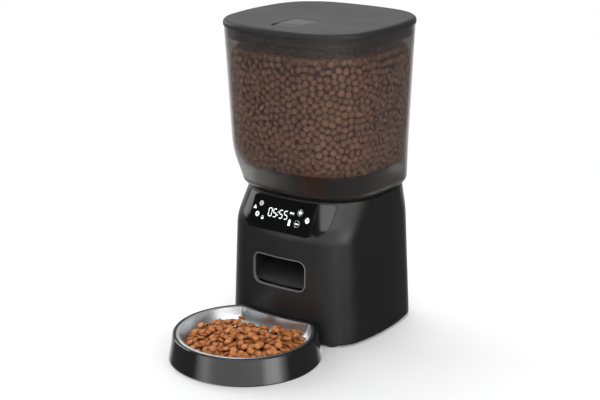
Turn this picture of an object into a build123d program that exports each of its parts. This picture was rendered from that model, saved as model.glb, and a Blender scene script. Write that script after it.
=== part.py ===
from build123d import *
from math import acos, atan2, cos, pi, radians, sin, sqrt, tan
import os

os.makedirs("parts", exist_ok=True)

# Automatic pet feeder. All sizes are in millimetres. Every piece is modelled with the upright
# axis of the base at x = 0, y = 0, the front towards -Y, and moved to the shared origin at the end.

# Base: half width, reach to the front and to the back, at its foot and at its top
foot_height = 2.5
base_height = 164.5
base_low_width = 92.5
base_top_width = 85.0
base_low_back = 93.5
base_top_back = 88.0
base_low_front = 88.0
base_bend_front = 86.5
base_top_front = 70.0
brow_height = 36.0
base_bend_half = 9.0
base_low_corner = 44.0
base_top_corner = 62.0
base_bulge = 275.0
base_wall = 2.8
deck_thickness = 3.0
base_edge = 2.0
base_low_z = foot_height
base_top_z = base_low_z + base_height
base_bend_z = base_top_z - brow_height
deck_z = base_top_z - deck_thickness

# Food tank, which stands on the base with a shadow gap and hangs over it a little
seam_gap = 2.0
tank_height = 188.0
tank_side_overhang = 5.6
tank_back_overhang = 1.8
tank_front_overhang = 3.0
tank_top_width = 98.0
tank_top_back = 93.5
tank_bend_front = 94.5
tank_top_front = 102.3
tank_slope_height = 43.0
tank_bend_half = 15.0
tank_corner = 62.0
tank_bulge = 278.0
tank_wall = 2.2
tank_floor = 3.0
tank_edge = 9.0
tank_foot_wall = 3.0
tank_low_z = base_top_z + seam_gap
tank_top_z = tank_low_z + tank_height
tank_low_width = base_top_width + tank_side_overhang
tank_low_back = base_top_back + tank_back_overhang
tank_low_front = base_top_front + tank_front_overhang
tank_bend_z = tank_low_z + tank_slope_height

# Lid
lid_height = 6.5
lid_overhang = 0.9
lid_edge = 4.3
lid_skin = 2.6
lid_lip = 3.0
liner_plate = 2.4
liner_gap = 0.3
skirt_depth = 13.0
skirt_gap = 0.9
skirt_wall = 2.2
seal_drop = 9.5
seal_height = 3.0
seal_gap = 0.35
lid_screw_inset = 28.0
lid_top_z = tank_top_z + lid_height
skirt_low_z = tank_top_z - skirt_depth
seal_z = tank_top_z - seal_drop
liner_high_z = lid_top_z - lid_skin
liner_low_z = liner_high_z - liner_plate

# Latch lever in the lid, its pin, its hook and its spring
lever_width = 30.0
lever_inset = 25.2
lever_length = 48.2
press_length = 17.0
lever_thickness = 2.7
lever_gap = 0.4
lever_front_gap = 1.6
lever_sunk = 0.2
lever_dip = 1.8
lever_box_wall = 1.8
lever_box_floor = 1.5
pivot_drop = 8.0
pivot_r = 1.5
hook_width = 12.0
hook_drop = 8.5
hook_thickness = 3.0
hook_root = 2.5
hook_gap = 0.45
catch_depth = 1.0
spring_steel = 0.4
lever_front_y = lever_inset - tank_top_front - lid_overhang
lever_back_y = lever_front_y + lever_length
lever_top_z = lid_top_z - lever_sunk
lever_low_z = lever_top_z - lever_thickness
pivot_y = lever_front_y + press_length
pivot_z = lid_top_z - pivot_drop
hook_low_z = tank_top_z - hook_drop

# Desiccant box under the lid
desiccant_back_gap = 69.5
desiccant_r = 27.0
desiccant_wall = 1.6
desiccant_y = tank_top_back - desiccant_back_gap

# Dosing rotor, its well and the drive
brow_room = 18.0
well_r = 57.5
well_wall = 2.5
well_depth = 37.0
well_floor = 3.0
flange_reach = 12.5
flange_thickness = 2.5
rotor_vanes = 6
rotor_height = 22.0
rotor_floor_gap = 1.0
tip_gap = 0.9
blade_reach = 6.6
blade_hold = 7.9
vane_thickness = 3.6
blade_thickness = 1.5
blade_slack = 0.1
hub_r = 11.0
shaft_r = 4.0
running_gap = 0.05
bush_r = 7.0
collar_drop = 10.0
collar_gap = 0.5
collar_wall = 2.2
outlet_half_width = 34.0
outlet_hub_gap = 15.0
guard_thickness = 1.6
guard_hub_gap = 7.0
gasket_gap = 1.5
gasket_width = 4.0
funnel_height = 28.0
funnel_wall = 1.6
rotor_y = well_r + well_wall + brow_room - base_top_front
well_floor_z = base_top_z - well_depth
well_low_z = well_floor_z - well_floor
well_flange_r = well_r + flange_reach
rotor_low_z = well_floor_z + rotor_floor_gap
rotor_high_z = rotor_low_z + rotor_height
rotor_tip_r = well_r - tip_gap
vane_end_r = rotor_tip_r - blade_reach
collar_low_z = base_top_z - collar_drop
collar_r = well_r - collar_gap
outlet_r = collar_r - collar_wall
outlet_back_y = rotor_y - hub_r - outlet_hub_gap

gear_module = 1.0
gear_teeth = 40
pinion_teeth = 18
gear_backlash = 0.2
gear_drop = 20.0
gear_width = 8.0
gear_plate_drop = 7.0
gear_plate_thickness = 3.0
motor_shaft_r = 2.5
motor_case_r = 18.5
motor_can_r = 14.0
motor_screw_x = 13.0
gear_z = well_floor_z - gear_drop
gear_plate_z = gear_z - gear_plate_drop
gear_plate_top_z = gear_plate_z + gear_plate_thickness
motor_y = rotor_y + gear_module * (gear_teeth + pinion_teeth) / 2
post_r = 5.0
drive_post_x = gear_module * (gear_teeth + 2) / 2 + post_r + 3.0

# Chute
chute_clearance = 1.4
chute_low_z = 63.4
chute_height = 35.1
chute_corner = 9.0
chute_wall = 2.0
trim_width = 1.2
trim_proud = 0.5
chute_half_width = outlet_half_width + chute_clearance
chute_high_z = chute_low_z + chute_height

# Display panel: a flat block with the glass, and a glossy cheek at each end that follows the skin
bezel_side = 24.0
bezel_low_gap = -1.0
bezel_high_gap = 2.4
bezel_proud = 0.6
bezel_sunk = 1.6
bezel_low_corner = 18.0
bezel_high_corner = 4.0
cheek_width = 20.0
block_proud = 1.5
block_ledge = 0.9
block_corner = 3.0
glass_low_margin = 1.2
glass_high_margin = 0.8
glass_corner = 2.5
glass_thickness = 1.2
glass_below_rim = 0.1
glue_gap = 0.2
fit_gap = 0.15
window_margin = 9.0
bezel_half_width = base_top_width - bezel_side
bezel_low_z = base_bend_z + bezel_low_gap
bezel_high_z = base_top_z - bezel_high_gap
glass_half_width = bezel_half_width - cheek_width
glass_low_z = bezel_low_z + glass_low_margin
glass_high_z = bezel_high_z - glass_high_margin

# Underside, with a bay for three cells that lie front to back
plate_thickness = 2.5
foot_r = 8.0
screw_r = 1.6
screw_head_r = 3.0
screw_clearance = 0.2
bottom_screw_length = 15.8
small_screw_r = 1.0
cell_diameter = 34.2
cell_length = 61.5
cell_gap = 1.8
cell_headroom = 2.0
contact_room = 6.9
bay_y = 12.0
bay_side_room = 2.9
bay_wall = 1.8
door_lap = 3.0
door_end_lap = 3.3
door_thickness = 1.3
door_gap = 0.3
tongue_length = 10.0
tongue_reach = 1.8
plate_top_z = base_low_z + plate_thickness
cell_pitch = cell_diameter + cell_gap
bay_half_width = 1.5 * cell_diameter + bay_side_room
bay_front_y = bay_y - (cell_length + contact_room) / 2
bay_back_y = bay_y + (cell_length + contact_room) / 2
bay_high_z = plate_top_z + cell_diameter + cell_headroom
door_half_width = bay_half_width + door_lap
door_front_y = bay_front_y - door_end_lap
door_back_y = bay_back_y + door_end_lap
door_travel = tongue_length + 0.4
tongue_places = (bay_y - 32.0, bay_y - 4.0, bay_y + 24.0)
front_post = (base_low_width - 34.5, 40.0 - base_low_front)
back_post = (base_low_width - 28.5, base_low_back - 33.5)
front_foot = (base_low_width - 30.5, 20.0 - base_low_front)
back_foot = (base_low_width - 52.5, base_low_back - 17.5)

# Tray and bowl
tray_reach = 61.2
tray_foot_r = 86.0
tray_rim_r = 81.4
tray_height = 30.0
tray_wall = 2.2
tray_gap = 0.45
rim_width = 4.0
bowl_steel = 0.8
bowl_lip = 2.4
bowl_lip_thickness = 1.1
bowl_sunk = 1.2
bowl_floor_z = 7.0
bowl_corner = 12.0
bowl_gap = 0.3
tab_spacing = 60.0
tab_width = 14.0
tab_low_z = 10.0
tab_thickness = 4.0
tab_reach = 7.5
tab_gap = 0.4
tray_y = -base_low_front - tray_reach
bowl_lip_r = tray_rim_r - rim_width
bowl_mouth_r = bowl_lip_r - bowl_lip
bowl_seat_z = tray_height - bowl_sunk
tab_high_z = tab_low_z + tab_thickness
tab_places = (-tab_spacing / 2, tab_spacing / 2)

# Boards and power inlet
board_thickness = 1.6
board_back_gap = 17.5
board_half_width = 34.0
board_height = 50.0
display_board_depth = 11.0
display_screw_x = 40.0
jack_x = 20.0
jack_height = 21.5
jack_bore_r = 3.0
jack_wall = 1.2
board_y = base_low_back - board_back_gap
board_low_z = base_low_z + 9.5
jack_z = base_low_z + jack_height

# The box round the whole object is centred on the origin
origin_shift = (tray_foot_r - tray_y - tank_top_back - lid_overhang) / 2


def both_sides(place):
    """The same place on the left and on the right."""
    return [(-place[0], place[1]), place]


post_places = both_sides(front_post) + both_sides(back_post)
foot_places = both_sides(front_foot) + both_sides(back_foot)
display_screw_places = (-display_screw_x, display_screw_x)
board_hole_x = board_half_width - 5.0
board_hole_heights = ((-1, 6.0), (1, 26.0), (-1, 44.0), (1, 44.0))
main_board_places = [(side * board_hole_x, board_low_z + up) for side, up in board_hole_heights]


def corner_centre(half_width, front, back, bulge, corner):
    """Centre of the corner arc that joins two bulged sides, seen from the middle of the outline."""
    side_offset = bulge - half_width
    end_offset = bulge - (front + back) / 2
    reach = bulge - corner
    slope = side_offset / end_offset
    level = (side_offset ** 2 - end_offset ** 2) / (2 * end_offset) + end_offset
    root = sqrt((slope * level) ** 2 - (1 + slope ** 2) * (level ** 2 - reach ** 2))
    corner_x = (root - slope * level) / (1 + slope ** 2)
    return corner_x, slope * corner_x + level - end_offset


def outline(half_width, front, back, bulge, corner):
    """Flat four-sided outline of eight arcs: bulged sides joined by tangent corners."""
    middle_y = (back - front) / 2
    side_offset = bulge - half_width
    end_offset = bulge - (front + back) / 2
    corner_x, corner_y = corner_centre(half_width, front, back, bulge, corner)
    low = atan2(corner_y, corner_x + side_offset)
    high = atan2(corner_y + end_offset, corner_x)

    def arc(centre_x, centre_y, radius, start, end):
        turns = (start, (start + end) / 2, end)
        return ThreePointArc(*[
            (centre_x + radius * cos(turn), centre_y + radius * sin(turn) + middle_y)
            for turn in turns
        ])

    return make_face([
        arc(-side_offset, 0, bulge, -low, low),
        arc(corner_x, corner_y, corner, low, high),
        arc(0, -end_offset, bulge, high, pi - high),
        arc(-corner_x, corner_y, corner, pi - high, pi - low),
        arc(side_offset, 0, bulge, pi - low, pi + low),
        arc(-corner_x, -corner_y, corner, pi + low, pi + high),
        arc(0, end_offset, bulge, pi + high, 2 * pi - high),
        arc(corner_x, -corner_y, corner, 2 * pi - high, 2 * pi - low),
    ])


def between(z, low_z, high_z, low_value, high_value):
    """Straight-line value at height z."""
    return low_value + (high_value - low_value) * (z - low_z) / (high_z - low_z)


def bent(z, bend_z, bend_half, bend_value, slope_below, slope_above):
    """Two straight lines that meet at bend_z in a soft bend."""
    rise = z - bend_z
    if rise <= -bend_half:
        return bend_value + slope_below * rise
    if rise >= bend_half:
        return bend_value + slope_above * rise
    ease = (slope_above - slope_below) * (rise + bend_half) ** 2 / (4 * bend_half)
    return bend_value + slope_below * rise + ease


def base_sizes(z, inset=0.0):
    """Half width, front, back, bulge and corner of the base at height z, made smaller by inset."""
    front_below = (base_bend_front - base_low_front) / (base_bend_z - base_low_z)
    front_above = (base_top_front - base_bend_front) / (base_top_z - base_bend_z)
    corner_above = (base_top_corner - base_low_corner) / (base_top_z - base_bend_z)
    return (
        between(z, base_low_z, base_top_z, base_low_width, base_top_width) - inset,
        bent(z, base_bend_z, base_bend_half, base_bend_front, front_below, front_above) - inset,
        between(z, base_low_z, base_top_z, base_low_back, base_top_back) - inset,
        base_bulge - inset,
        bent(z, base_bend_z, base_bend_half, base_low_corner, 0.0, corner_above) - inset,
    )


def base_section(z, inset=0.0, level=None):
    """Outline of the base at height z, placed at level."""
    return Pos(0, 0, z if level is None else level) * outline(*base_sizes(z, inset))


def base_front_y(x, z):
    """Front face of the base at x and height z."""
    half_width, front, back, bulge, corner = base_sizes(z)
    corner_x, corner_y = corner_centre(half_width, front, back, bulge, corner)
    middle_y = (back - front) / 2
    if abs(x) <= corner_x * bulge / (bulge - corner):
        return middle_y - sqrt(bulge ** 2 - x ** 2) + bulge - (front + back) / 2
    return middle_y - corner_y - sqrt(corner ** 2 - (abs(x) - corner_x) ** 2)


def tank_section(z, inset=0.0, level=None):
    """Outline of the tank at height z, made smaller by inset and placed at level."""
    front_below = (tank_bend_front - tank_low_front) / (tank_bend_z - tank_low_z)
    front_above = (tank_top_front - tank_bend_front) / (tank_top_z - tank_bend_z)
    face = outline(
        between(z, tank_low_z, tank_top_z, tank_low_width, tank_top_width) - inset,
        bent(z, tank_bend_z, tank_bend_half, tank_bend_front, front_below, front_above) - inset,
        between(z, tank_low_z, tank_top_z, tank_low_back, tank_top_back) - inset,
        tank_bulge - inset,
        tank_corner - inset,
    )
    return Pos(0, 0, z if level is None else level) * face


def steps(start, end, count):
    """Evenly spaced heights from start to end."""
    return [start + (end - start) * index / count for index in range(count + 1)]


def bent_body(section, inset, low_z, high_z, bend_z, bend_half):
    """Body with straight walls below and above one soft bend."""
    bend_low = bend_z - bend_half
    bend_high = bend_z + bend_half
    lower = loft([section(low_z, inset), section(bend_low, inset)], ruled=True)
    middle = loft([section(z, inset) for z in steps(bend_low, bend_high, 6)])
    upper = loft([section(bend_high, inset), section(high_z, inset)], ruled=True)
    return lower + middle + upper


def base_body(inset=0.0, low_z=base_low_z, high_z=base_top_z):
    return bent_body(base_section, inset, low_z, high_z, base_bend_z, base_bend_half)


def tank_body(inset, low_z, high_z):
    return bent_body(tank_section, inset, low_z, high_z, tank_bend_z, tank_bend_half)


def rounded_end(section, flat_z, radius, upward, inset=0.0):
    """Quarter-round edge that ends in a flat face at flat_z."""
    way = 1 if upward else -1
    start_z = flat_z - way * radius
    faces = []
    for turn in steps(0.0, pi / 2, 5):
        level = start_z + way * radius * sin(turn)
        faces.append(section(start_z, inset + radius * (1 - cos(turn)), level))
    return loft(faces)


def front_prism(sketch, near_y, far_y):
    """Sketch drawn in x and z, pushed through from near_y (front) to far_y (back)."""
    place = Plane(origin=(0, far_y, 0), x_dir=(1, 0, 0), z_dir=(0, -1, 0))
    return extrude(place * sketch, far_y - near_y)


def side_prism(points, half_width):
    """Closed outline of (y, z) points, as wide as two half widths."""
    place = Plane(origin=(0, 0, 0), x_dir=(0, 1, 0), z_dir=(1, 0, 0))
    return extrude(place * make_face(Polyline(*points, close=True)), half_width, both=True)


def block(x_low, x_high, y_low, y_high, z_low, z_high):
    box = Box(x_high - x_low, y_high - y_low, z_high - z_low)
    return Pos((x_low + x_high) / 2, (y_low + y_high) / 2, (z_low + z_high) / 2) * box


def rod(x, y, low_z, high_z, radius):
    return Pos(x, y, (low_z + high_z) / 2) * Cylinder(radius, high_z - low_z)


def cross_rod(y, z, half_length, radius):
    """Round bar along x."""
    return Pos(0, y, z) * Rot(0, 90, 0) * Cylinder(radius, 2 * half_length)


def group(solids):
    """Separate solids kept together as one piece."""
    return Compound([solid for piece in solids for solid in piece.solids()])


def screw(x, y, head_z, tip_z, shank_r=screw_r, head_r=screw_head_r, head=2.0):
    """Pan-head screw whose head sits outside head_z and whose shank runs to tip_z."""
    way = 1 if tip_z > head_z else -1
    shank = rod(x, y, min(head_z, tip_z), max(head_z, tip_z), shank_r)
    low, high = sorted((head_z - way * head, head_z))
    cap = rod(x, y, low, high, head_r)
    outer_z = head_z - way * head
    drive = rod(x, y, *sorted((outer_z, outer_z + way * 1.0)), head_r * 0.4)
    return cap + shank - drive


def bezel_sketch(grow=0.0):
    """Front outline of the display panel: large lower corners, small upper corners."""
    height = bezel_high_z - bezel_low_z + 2 * grow
    sketch = Rectangle(2 * (bezel_half_width + grow), height)
    sketch = fillet(sketch.vertices().group_by(Axis.Y)[0], bezel_low_corner + grow)
    sketch = fillet(sketch.vertices().group_by(Axis.Y)[-1], bezel_high_corner + grow)
    return Pos(0, (bezel_low_z + bezel_high_z) / 2) * sketch


def window_sketch(margin, corner=3.0):
    """Opening for the light of the clock, inside the outline of the glass."""
    low = glass_low_z + margin / 2
    high = glass_high_z - margin / 2
    return centred_sketch(glass_half_width - margin, low, high, corner)


def centred_sketch(half_width, low_z, high_z, corner):
    return Pos(0, (low_z + high_z) / 2) * RectangleRounded(2 * half_width, high_z - low_z, corner)


def chute_sketch(grow=0.0):
    return centred_sketch(
        chute_half_width + grow, chute_low_z - grow, chute_high_z + grow, chute_corner + grow
    )


# Frame of the sloping display panel: its middle, its outward normal and a plane behind it
slope_length = sqrt((base_bend_front - base_top_front) ** 2 + (base_top_z - base_bend_z) ** 2)
slope_out_y = -(base_top_z - base_bend_z) / slope_length
slope_out_z = (base_bend_front - base_top_front) / slope_length
slope_middle_y = -(base_bend_front + base_top_front) / 2
slope_middle_z = (base_bend_z + base_top_z) / 2


def slope_plane(behind, x=0.0):
    """Plane parallel to the display panel, set back by behind, facing out."""
    origin = (x, slope_middle_y - behind * slope_out_y, slope_middle_z - behind * slope_out_z)
    return Plane(origin=origin, x_dir=(1, 0, 0), z_dir=(0, slope_out_y, slope_out_z))


def front_side(sketch):
    """Prism through the front wall of the base."""
    return front_prism(sketch, -base_low_front - 22.0, 30.0 - base_top_front)


def slope_slab(front, back):
    """Slab parallel to the display panel, between two depths behind its skin."""
    outline_sketch = Rectangle(4 * bezel_half_width, 4 * brow_height)
    return extrude(slope_plane(back) * outline_sketch, back - front)


def base_shell():
    outer = base_body(0.0, base_low_z + base_edge, base_top_z - base_edge)
    outer += rounded_end(base_section, base_top_z, base_edge, upward=True)
    outer += rounded_end(base_section, base_low_z, base_edge, upward=False)
    hollow = base_body(base_wall, base_low_z - 3, deck_z)
    shell = outer - hollow
    inside = base_body(1.0, base_low_z, deck_z)
    for x, y in post_places:
        shell += rod(x, y, plate_top_z, deck_z, post_r) & inside
    for x in display_screw_places:
        boss = extrude(slope_plane(display_board_depth, x) * Circle(3.0), display_board_depth)
        shell += boss & inside
    for x, z in main_board_places:
        boss = Pos(x, board_y + board_thickness + 8, z) * Rot(90, 0, 0) * Cylinder(3.0, 16)
        shell += boss & inside
    shell -= rod(0, rotor_y, deck_z - 1, base_top_z + 1, well_r)
    for x, y in post_places:
        shell -= rod(x, y, base_low_z, base_low_z + bottom_screw_length + 2.7, screw_r + running_gap)
    for angle in (45, 135, 225, 315):
        x, y = well_screw_place(angle)
        shell -= rod(x, y, deck_z - 1, deck_z + 2.2, screw_r + running_gap)
    for x in display_screw_places:
        hole = extrude(slope_plane(display_board_depth, x) * Circle(small_screw_r + running_gap), 4.0)
        shell -= hole
    for x, z in main_board_places:
        shell -= Pos(x, board_y + 4, z) * Rot(90, 0, 0) * Cylinder(small_screw_r + running_gap, 8)
    # Pocket for the display panel and the window behind it
    pocket_skin = base_body(-2.0) - base_body(bezel_sunk + fit_gap)
    shell -= pocket_skin & front_side(bezel_sketch(fit_gap))
    shell -= front_side(window_sketch(window_margin))
    shell -= front_prism(chute_sketch(trim_width + fit_gap), -base_low_front - 22, 18 - base_low_front)
    for x in tab_places:
        half = tab_width / 2 + tab_gap
        shell -= block(
            x - half, x + half, -base_low_front - 12, 18 - base_low_front,
            tab_low_z - tab_gap, tab_high_z + tab_gap,
        )
    nose_r = jack_bore_r + jack_wall
    shell -= Pos(jack_x, base_low_back, jack_z) * Rot(90, 0, 0) * Cylinder(nose_r + 0.2, 14)
    return shell


def well_screw_place(angle):
    radius = (well_r + well_flange_r) / 2 + 1.5
    return radius * cos(radians(angle)), rotor_y + radius * sin(radians(angle))


def bottom_plate():
    plate = extrude(base_section(base_low_z, base_wall + door_gap), plate_thickness)
    plate -= block(
        -bay_half_width, bay_half_width, bay_front_y, bay_back_y, base_low_z - 1, plate_top_z + 1,
    )
    recess_top = base_low_z + door_thickness + door_gap
    plate -= block(
        -door_half_width - door_gap, door_half_width + door_gap,
        door_front_y - door_gap, door_back_y + door_travel + door_gap,
        base_low_z - 1, recess_top,
    )
    for side in (-1, 1):
        near = side * door_half_width
        far = side * (door_half_width + tongue_reach + door_gap)
        x_low, x_high = min(near, far), max(near, far)
        for y in tongue_places:
            # Groove along the travel, and the notch at its end where the tongue drops out
            plate -= block(
                x_low, x_high, y - door_gap, y + tongue_length + door_travel + door_gap,
                base_low_z + 0.5, recess_top,
            )
            plate -= block(
                x_low, x_high, y + tongue_length + 0.1, y + tongue_length + door_travel + door_gap,
                base_low_z - 1, recess_top,
            )
    for x, y in post_places:
        plate -= rod(x, y, base_low_z - 1, plate_top_z + 1, screw_r + screw_clearance)
        plate -= rod(x, y, base_low_z - 1, base_low_z + 1.2, screw_head_r + screw_clearance)
    return plate


def battery_door():
    low_z = base_low_z
    high_z = base_low_z + door_thickness
    door = block(-door_half_width, door_half_width, door_front_y, door_back_y, low_z, high_z)
    for side in (-1, 1):
        for y in tongue_places:
            near = side * (door_half_width - 0.5)
            far = side * (door_half_width + tongue_reach)
            door += block(min(near, far), max(near, far), y, y + tongue_length, low_z + 0.7, high_z)
    for row in range(3):
        y = door_front_y + 7.5 + 4.0 * row
        door -= block(-14, 14, y - 0.8, y + 0.8, low_z - 1, low_z + 0.5)
    return door


def battery_bay():
    low_z = plate_top_z
    bay = block(
        -bay_half_width - bay_wall, bay_half_width + bay_wall,
        bay_front_y - bay_wall, bay_back_y + bay_wall, low_z, bay_high_z + bay_wall,
    )
    bay = fillet(bay.edges().filter_by(Axis.Z), 3.0)
    bay += block(
        -bay_half_width - 5, bay_half_width + 5, bay_front_y - 5, bay_back_y + 4, low_z, low_z + 2,
    )
    bay -= block(-bay_half_width, bay_half_width, bay_front_y, bay_back_y, low_z - 1, bay_high_z)
    # Low ribs that keep the three cells apart
    for x in (-cell_pitch / 2, cell_pitch / 2):
        bay += block(x - 0.6, x + 0.6, bay_front_y, bay_back_y, bay_high_z - 9, bay_high_z + 0.5)
    return bay


def battery_contacts():
    """Six sprung plates, one at each end of the three cells."""
    plates = []
    for x in (-cell_pitch, 0.0, cell_pitch):
        for wall_y, way in ((bay_front_y, 1), (bay_back_y, -1)):
            low, high = sorted((wall_y, wall_y + way * 0.5))
            middle_z = plate_top_z + cell_diameter / 2 + 0.9
            plate = block(x - 8, x + 8, low, high, middle_z - 11, middle_z + 11)
            dome = Pos(x, wall_y + way * 1.2, middle_z) * Rot(90, 0, 0) * Cone(
                4.0 if way < 0 else 2.0, 2.0 if way < 0 else 4.0, 1.6
            )
            plates.append(plate + dome)
    return group(plates)


def rubber_feet():
    feet = []
    for x, y in foot_places:
        foot = rod(x, y, 0.0, base_low_z, foot_r)
        feet.append(chamfer(foot.edges().group_by(Axis.Z)[0], 0.6))
    return group(feet)


def bottom_screws():
    head_z = base_low_z + 1.2
    tip_z = head_z + bottom_screw_length
    return group([screw(x, y, head_z, tip_z, head=1.1) for x, y in post_places])


def dispenser_well():
    well = rod(0, rotor_y, well_low_z, deck_z, well_r + well_wall)
    well -= rod(0, rotor_y, well_floor_z, deck_z + 1, well_r)
    flange_low_z = deck_z - flange_thickness
    flange = rod(0, rotor_y, flange_low_z, deck_z, well_flange_r)
    flange -= rod(0, rotor_y, flange_low_z - 1, deck_z + 1, well_r + well_wall / 2)
    # The flange keeps clear of the display boards at the front and of the walls at the sides
    room = extrude(base_section(base_top_z, base_wall + 1.0, flange_low_z), flange_thickness)
    room &= block(
        -base_low_width, base_low_width, rotor_y - well_r - 0.5, base_low_back, flange_low_z, deck_z,
    )
    well += flange & room
    for x, y in drive_posts():
        well += rod(x, y, gear_plate_top_z, well_low_z + 1, post_r)
        well -= rod(x, y, gear_plate_z, gear_plate_z + 14, screw_r + running_gap)
    mouth = rod(0, rotor_y, well_low_z - 1, well_floor_z + 1, well_r - 1.5)
    mouth &= block(
        -outlet_half_width, outlet_half_width, -base_low_front, outlet_back_y,
        well_low_z - 2, well_floor_z + 2,
    )
    well -= mouth
    well -= rod(0, rotor_y, well_low_z - 1, well_floor_z + 1, bush_r + running_gap)
    for angle in (45, 135, 225, 315):
        x, y = well_screw_place(angle)
        well -= rod(x, y, deck_z - 4, deck_z + 1, screw_r + screw_clearance)
    return well


def drive_posts():
    places_y = (rotor_y - 4.0, motor_y + motor_screw_x)
    return [(x, y) for x in (-drive_post_x, drive_post_x) for y in places_y]


def well_screws():
    places = [well_screw_place(angle) for angle in (45, 135, 225, 315)]
    return group([screw(x, y, deck_z - flange_thickness, deck_z + 2.0) for x, y in places])


def rotor_bush():
    bush = rod(0, rotor_y, well_low_z, well_floor_z, bush_r)
    bush += rod(0, rotor_y, well_low_z - 2.2, well_low_z, bush_r + 3)
    return bush - rod(0, rotor_y, well_low_z - 3, well_floor_z + 1, shaft_r + running_gap)


def rotor():
    body = rod(0, rotor_y, rotor_low_z, rotor_high_z, hub_r)
    body += Pos(0, rotor_y, rotor_high_z + 1.5) * Cone(hub_r, hub_r - 6.0, 3.0)
    for index in range(rotor_vanes):
        vane = Pos(vane_end_r / 2, 0, 0) * Box(vane_end_r, vane_thickness, rotor_height)
        slot_length = 2 * (blade_hold + blade_slack)
        slot = Pos(vane_end_r, 0, 0) * Box(slot_length, blade_thickness + blade_slack, rotor_height + 1)
        place = Pos(0, rotor_y, rotor_low_z + rotor_height / 2) * Rot(0, 0, vane_turn(index))
        body += place * (vane - slot)
    socket = extrude(Pos(0, rotor_y, rotor_low_z - 1) * RegularPolygon(shaft_r, 6), rotor_height - 2.5)
    return body - offset(socket, 0.08)


def vane_turn(index):
    return 30 + 360 / rotor_vanes * index


def rotor_blades():
    """Soft blades in the slots at the ends of the vanes."""
    blades = []
    start_r = vane_end_r - blade_hold
    height = rotor_height - 1.0
    for index in range(rotor_vanes):
        blade = Box(rotor_tip_r - start_r, blade_thickness, height)
        blade = Pos((start_r + rotor_tip_r) / 2, 0, 0) * blade
        place = Pos(0, rotor_y, rotor_low_z + 0.5 + height / 2) * Rot(0, 0, vane_turn(index))
        blades.append(place * blade)
    return group(blades)


def rotor_shaft():
    shaft = rod(0, rotor_y, gear_plate_z - 2.5, rotor_low_z, shaft_r)
    shaft += rod(0, rotor_y, well_low_z - 5.2, well_low_z - 2.4, shaft_r + 2.5)
    return shaft + extrude(Pos(0, rotor_y, rotor_low_z) * RegularPolygon(shaft_r, 6), rotor_height - 4.0)


def spur_gear(teeth, width):
    """Involute gear round the z axis with the middle of one tooth on +X."""
    pressure = radians(20)
    pitch_r = gear_module * teeth / 2
    ground_r = pitch_r * cos(pressure)
    tip_r = pitch_r + gear_module
    root_r = pitch_r - 1.25 * gear_module
    start_r = max(ground_r, root_r)
    half_pitch = (pi * gear_module / 2 - gear_backlash) / 2 / pitch_r

    def half_angle(radius):
        turn = acos(min(1.0, ground_r / radius))
        return half_pitch + (tan(pressure) - pressure) - (tan(turn) - turn)

    def point(radius, angle):
        return radius * cos(angle), radius * sin(angle)

    middle_r = (start_r + tip_r) / 2
    edges = []
    for index in range(teeth):
        middle = 2 * pi * index / teeth
        following = 2 * pi * (index + 1) / teeth
        start, half, tip = half_angle(start_r), half_angle(middle_r), half_angle(tip_r)
        if start_r - root_r > 0.01:
            edges.append(Line(point(root_r, middle - start), point(start_r, middle - start)))
        edges.append(ThreePointArc(
            point(start_r, middle - start), point(middle_r, middle - half), point(tip_r, middle - tip),
        ))
        edges.append(ThreePointArc(
            point(tip_r, middle - tip), point(tip_r, middle), point(tip_r, middle + tip),
        ))
        edges.append(ThreePointArc(
            point(tip_r, middle + tip), point(middle_r, middle + half), point(start_r, middle + start),
        ))
        if start_r - root_r > 0.01:
            edges.append(Line(point(start_r, middle + start), point(root_r, middle + start)))
        edges.append(ThreePointArc(
            point(root_r, middle + start),
            point(root_r, (middle + following) / 2),
            point(root_r, following - start),
        ))
    return extrude(make_face(edges), width)


def drive_gear():
    gear = spur_gear(gear_teeth, gear_width)
    # A tooth points at the pinion, which stands straight behind the rotor
    gear = Pos(0, rotor_y, gear_z) * Rot(0, 0, 90) * gear
    web_r = gear_module * gear_teeth / 2 - 4.0
    gear_high_z = gear_z + gear_width
    web = rod(0, rotor_y, gear_high_z - 2.5, gear_high_z + 1, web_r)
    gear -= web - rod(0, rotor_y, gear_z, gear_high_z + 2, shaft_r + 5)
    gear += rod(0, rotor_y, gear_z - 3, gear_high_z, shaft_r + 4)
    return gear - rod(0, rotor_y, gear_z - 4, gear_z + gear_width + 1, shaft_r + 0.03)


def motor_pinion():
    pinion = spur_gear(pinion_teeth, gear_width + 2)
    # A gap points at the drive gear
    pinion = Pos(0, motor_y, gear_z - 1) * Rot(0, 0, -90 + 180 / pinion_teeth) * pinion
    return pinion - rod(0, motor_y, gear_z - 2, gear_z + gear_width + 2, motor_shaft_r + 0.03)


def motor_shaft():
    return rod(0, motor_y, gear_plate_z - 10, gear_z + gear_width + 1.5, motor_shaft_r)


def gear_plate():
    high_z = gear_plate_top_z
    half = drive_post_x + 7.0
    plate = block(-half, half, rotor_y - 14, motor_y + motor_screw_x + 12, gear_plate_z, high_z)
    plate = fillet(plate.edges().filter_by(Axis.Z), 7.0)
    plate += rod(0, rotor_y, gear_plate_z - 2, gear_plate_z, shaft_r + 4)
    plate -= rod(0, rotor_y, gear_plate_z - 3, high_z + 1, shaft_r + running_gap)
    plate -= rod(0, motor_y, gear_plate_z - 1, high_z + 1, 6.1)
    for x, y in drive_posts():
        plate -= rod(x, y, gear_plate_z - 1, high_z + 1, screw_r + screw_clearance)
    for x in (-motor_screw_x, motor_screw_x):
        plate -= rod(x, motor_y, gear_plate_z - 1, high_z + 1, screw_r + screw_clearance)
    return plate


def gear_screws():
    return group([screw(x, y, gear_plate_z, gear_plate_z + 13) for x, y in drive_posts()])


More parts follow.
